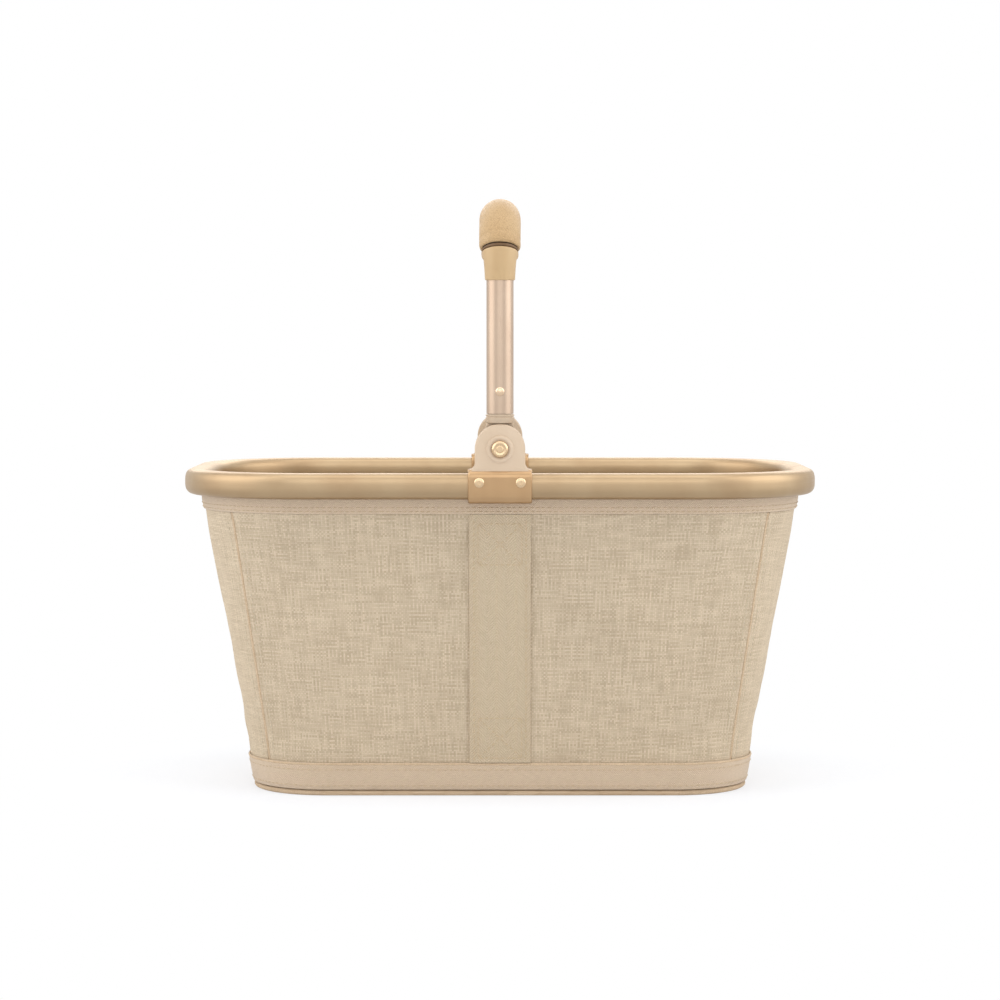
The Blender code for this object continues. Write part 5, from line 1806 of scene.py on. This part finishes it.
def add_binding():
    """Wide tape round the foot of the walls, a tan fold along its top, two rows of stitches."""
    stations = whole_round(arc_steps=18, pitch=0.006)
    low = WALL_BOTTOM_Z + GAP
    rings = []
    for n, station in enumerate(stations):
        wave = 0.00022 * noise.noise(Vector((n * 0.21, 4.0, 0.0)))
        rings.append(binding_ring(station, low, BINDING_TOP_Z, wave))
    band = closed_loft(rings)
    settle(band, "foot_binding", trim_tape, "base", ["base_binding"], angle=60)
    fold_with_ring(band)
    outward = (GAP + BINDING_THICK) * LEAN_STRETCH + STITCH_LIFT
    rows = [row_round(stations, z, outward) for z in (low + 0.0030, BINDING_TOP_Z - 0.0052)]
    sew("binding_stitching", rows, tan_thread)
    fold_out = (GAP + BINDING_THICK * 0.55) * LEAN_STRETCH
    fold_path = [tub_point(station, BINDING_TOP_Z - 0.0010, fold_out) for station in stations]
    fold = swept(fold_path, radius=0.0009, cyclic=True, sides=3)
    settle(fold, "binding_fold", piping_cloth, "base", angle=60)
    fold_with_ring(fold)


def add_hem():
    """The hem: a bead in the ring's groove, its neck, and a stitched skirt over the cloth's top."""
    stations = whole_round(arc_steps=22, pitch=0.006)
    bead = GROOVE_RADIUS - GAP
    half = HEM_THICK / 2
    out = (GAP + HEM_THICK) * LEAN_STRETCH
    bottom = HEM_BOTTOM_Z + half
    opening = math.degrees(math.asin(half / bead))
    bulb = arc((0, GROOVE_Z + RIM_Z), bead, opening - 90, 270 - opening, 12)
    neck = [(half, WALL_TOP_Z)] + bulb + [(-half, WALL_TOP_Z)]
    centre_x, centre_y = RIM_HALF_X - RIM_BEND, RIM_HALF_Y - RIM_BEND
    rings = []
    for n, station in enumerate(stations):
        wave = 0.00018 * noise.noise(Vector((n * 0.27, 9.0, 0.0)))
        ring = rounded_edge(station, bottom, GAP + half, half, (250, 290, 330), wave)
        for i in range(4):
            z = bottom + (WALL_TOP_Z - HEM_BOTTOM_Z - half - 0.0008) * i / 3
            ring.append(tub_point(station, z, out + wave * (1 - i / 3)))
        for across, z in neck:
            radius = RIM_BEND - GROOVE_INSET + across
            ring.append(bend_point(station, centre_x, centre_y, radius, z))
        ring.append(tub_point(station, bottom, GAP * LEAN_STRETCH))
        rings.append(ring)
    hem = closed_loft(rings)
    settle(hem, "ring_hem", trim_tape, "rim", ["rim_hem"], angle=60)
    rows = [row_round(stations, HEM_BOTTOM_Z + up, out + STITCH_LIFT) for up in (0.0017, 0.0046)]
    sew("hem_stitching", rows, tan_thread, body="rim", folds=False)


# Base


CHANNELS = ((0, 0.056), (1, 0.050))     # rows of quilting across the bottom, by axis and spacing
CHANNEL_DEEP, CHANNEL_WIDE, CROSSING_DEEP = 0.0007, 0.0016, 0.0009


def rounded_outline(half_x, half_y, radius, steps=20):
    """Anticlockwise points of a rounded rectangle, from its front right bend."""
    points = []
    for sx, sy, start in ((1, -1, 270), (1, 1, 0), (-1, 1, 90), (-1, -1, 180)):
        centre = (sx * (half_x - radius), sy * (half_y - radius))
        points += arc(centre, radius, start, start + 90, steps)
    return points


def quilting(point):
    """How far the sewn channels draw in the bottom's underside at a point."""
    depth = 0.0
    for axis, spacing in CHANNELS:
        off = abs(math.remainder(point[axis] + spacing / 2, spacing))
        depth += CHANNEL_DEEP * hump(off, CHANNEL_WIDE)
    return min(depth, CROSSING_DEEP)


def add_base():
    """Bottom panel with sewn channels underneath, and the piping round its edge."""
    middle = CLOTH_THICK / 2
    half_x, half_y, corner = BASE_HALF_X - middle, BASE_HALF_Y - middle, BASE_CORNER - middle
    inset, edge_soft = PIPING_RADIUS + GAP, 0.0008
    rings_in = 26
    verts, faces = [], []
    for low in (True, False):
        for i in range(rings_in + 1):
            left = 1 - i / rings_in
            size_x = max((half_x - inset) * left, 0.0004)
            size_y = max((half_y - inset) * left, 0.0004)
            radius = min(max((corner - inset) * left, 0.0001), size_x, size_y)
            edge = edge_soft if i == 0 else 0.0
            for point in rounded_outline(size_x, size_y, radius):
                verts.append((*point, quilting(point) + edge if low else CLOTH_THICK - edge))
    count = len(verts) // (2 * (rings_in + 1))
    span = (rings_in + 1) * count
    for start, flip in ((0, True), (span, False)):
        for i in range(rings_in):
            for j in range(count):
                a, b = start + i * count + j, start + i * count + (j + 1) % count
                faces.append((a + count, b + count, b, a) if flip else (a, b, b + count, a + count))
        last = tuple(start + rings_in * count + j for j in range(count))
        faces.append(last[::-1] if flip else last)
    for j in range(count):
        faces.append((j, (j + 1) % count, span + (j + 1) % count, span + j))
    panel = mesh_piece(verts, faces, [(px + 0.2, py + 0.2) for px, py, _ in verts])
    tidy_mesh(panel)
    settle(panel, "tub_bottom", base_cloth, "base", ["base_panel"], angle=50)
    path = [(px, py, PIPING_RADIUS) for px, py in rounded_outline(half_x, half_y, corner, steps=28)]
    piping = swept(path, radius=PIPING_RADIUS, cyclic=True, sides=5)
    settle(piping, "foot_piping", piping_cloth, "base", ["base_piping"], angle=60)


def press_channel(board, up):
    """A stitched channel inside the edge of a board's upper or lower face."""
    edit(board, "DESELECT")
    pick(board, "faces", lambda face: face.normal.z * up > 0.99 and face.calc_area() > 0.005)
    bpy.ops.mesh.inset(thickness=0.0032)
    for width, rise in ((0.0007, -0.00035), (0.0009, 0.00030)):
        bpy.ops.mesh.inset(thickness=width)
        bpy.ops.transform.translate(value=(0, 0, rise * up))
    leave_edit()


def add_board(end, body):
    """A lined board, with a stitched channel inside its edge on both faces."""
    name = END_NAME[end]
    bend_x, bend_y = BOARD_HALF_X - BOARD_CORNER, BOARD_HALF_Y - BOARD_CORNER
    outline = [(BOARD_START_X, -BOARD_HALF_Y)]
    outline += arc((bend_x, -bend_y), BOARD_CORNER, 270, 360, 20)
    outline += arc((bend_x, bend_y), BOARD_CORNER, 0, 90, 20)
    outline.append((BOARD_START_X, BOARD_HALF_Y))
    if end == LEFT:
        outline = [(-px, py) for px, py in reversed(outline)]
    board = slab([(px, py, BOARD_LOW_Z) for px, py in outline], (0, 0, BOARD_HIGH_Z - BOARD_LOW_Z))
    bevelled(board, 0.0009, 3, 60)
    for up in (1, -1):
        press_channel(board, up)
    node = f"base_board_{name}"
    settle(board, f"lined_board_{name}", lining_cloth, body, [node], angle=40)
    planar_map(board)
    row = inset_row(outline, 0.0042, BOARD_HIGH_Z - 0.0003)
    sew(f"board_stitching_{name}", [row], pale_thread, body=body, folds=False)


def add_boards():
    """Two lined boards with their pull tabs and pads, and the hinge tape between them."""
    for end in (LEFT, RIGHT):
        name = END_NAME[end]
        body = f"board_{name}"
        add_board(end, body)
        add_tab(end, body)
        add_pad(f"hook_pad_{name}", f"hook_strip_{name}", body)
        add_pad(f"loop_pad_{name}", f"loop_strip_{name}", "base")
    low, high = (Vector(corner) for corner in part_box("board_hinge_tape"))
    tape = round_block(high - low, (low + high) / 2)
    bevelled(tape, 0.0007, 3, 30)
    settle(tape, "hinge_webbing", trim_tape, "base", ["board_hinge_tape"], angle=40)
    planar_map(tape)
    side, end_free = (high.x - low.x) / 2 - 0.003, 0.004
    along = even_steps(low.y + end_free, high.y - end_free, 30)
    rows = [[(Vector((x, y, high.z - 0.0002)), Z.copy()) for y in along] for x in (-side, side)]
    sew("hinge_stitching", rows, tan_thread, folds=False)


def planar_map(obj):
    """A map in metres, straight down on the piece."""
    layer = obj.data.uv_layers[0] if obj.data.uv_layers else obj.data.uv_layers.new(name="UVMap")
    for loop in obj.data.loops:
        co = obj.data.vertices[loop.vertex_index].co
        layer.data[loop.index].uv = (co.x + co.z + 0.5, co.y + co.z + 0.5)


def inset_row(outline, inset, z):
    """A closed row of stitch places inside an outline."""
    points = [Vector((px, py, z)) for px, py in outline]
    count = len(points)
    row = []
    for i in range(count + 1):
        a, b, c = points[(i - 1) % count], points[i % count], points[(i + 1) % count]
        before, after = Z.cross((b - a).normalized()), Z.cross((c - b).normalized())
        bend = (before + after).normalized()
        row.append((b + bend * (inset / max(0.5, bend.dot(before))), Z.copy()))
    return row


def add_tab(end, body):
    """A folded webbing tab, boxed with stitches at its root, its free end standing up a little."""
    name = END_NAME[end]
    low, high = (Vector(corner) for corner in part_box(f"pull_tab_{name}"))
    size = high - low
    start_x = high.x if end == RIGHT else low.x
    half_y = size.y / 2
    steps, round_from, lift = 24, 0.94, 0.0026
    rings = []
    for i in range(steps + 1):
        share = i / steps
        x = start_x - end * size.x * share
        middle = low.z + size.z / 2 + lift * easing((share - 0.55) / 0.45)
        thick = size.z * (1.0 + 0.35 * easing((share - 0.9) / 0.06))
        if share > round_from:
            thick *= math.sqrt(max(0.12, 1 - ((share - round_from) / 0.06) ** 2))
        edge = thick / 2
        across = (-half_y + edge, -half_y / 3, half_y / 3, half_y - edge)
        ring = [Vector((x, y, middle - edge)) for y in across] + [Vector((x, half_y, middle))]
        ring += [Vector((x, y, middle + edge)) for y in reversed(across)]
        rings.append(ring + [Vector((x, -half_y, middle))])
    tab = closed_loft(rings, cyclic=False)
    node = f"pull_tab_{name}"
    settle(tab, f"webbing_tab_{name}", strap_tape, body, [node], angle=50)
    near, far, side = start_x - end * 0.003, start_x - end * 0.014, half_y - 0.003
    rows = [
        [(Vector((*spot, high.z)), Z.copy()) for spot in line]
        for line in boxed([(near, -side), (far, -side), (far, side), (near, side)])
    ]
    thread = f"tab_stitching_{name}"
    sew(thread, rows, tan_thread, body=body, folds=False, pitch=0.0036)


def add_pad(cad_name, name, body):
    """One half of a hook-and-loop pair, with softened edges."""
    low, high = (Vector(corner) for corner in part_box(cad_name))
    pad = round_block(high - low, (low + high) / 2)
    soften(pad, lambda a, b: abs(a.z - b.z) > 0.0005, 0.003, segments=5)
    bevelled(pad, 0.0003, 2, 50)
    settle(pad, name, pile_cloth, body, [cad_name], angle=40)


add_ring()
add_covers()
add_screws_and_pivots()
add_handle_tube()
add_feet_and_rivets()
add_grip()
add_collars()
wall_trees = {name: add_wall(name) for name in WALL_ENDS}
add_welts(wall_trees)
add_seam_tapes(wall_trees)
add_foot_tape()
add_strap(FRONT, wall_trees["front"])
add_strap(BACK, wall_trees["back"])
add_binding()
add_hem()
add_base()
add_boards()
for side_name in SIDE_NAME.values():
    paint_node(f"rim_splice_{side_name}", plain_alloy)
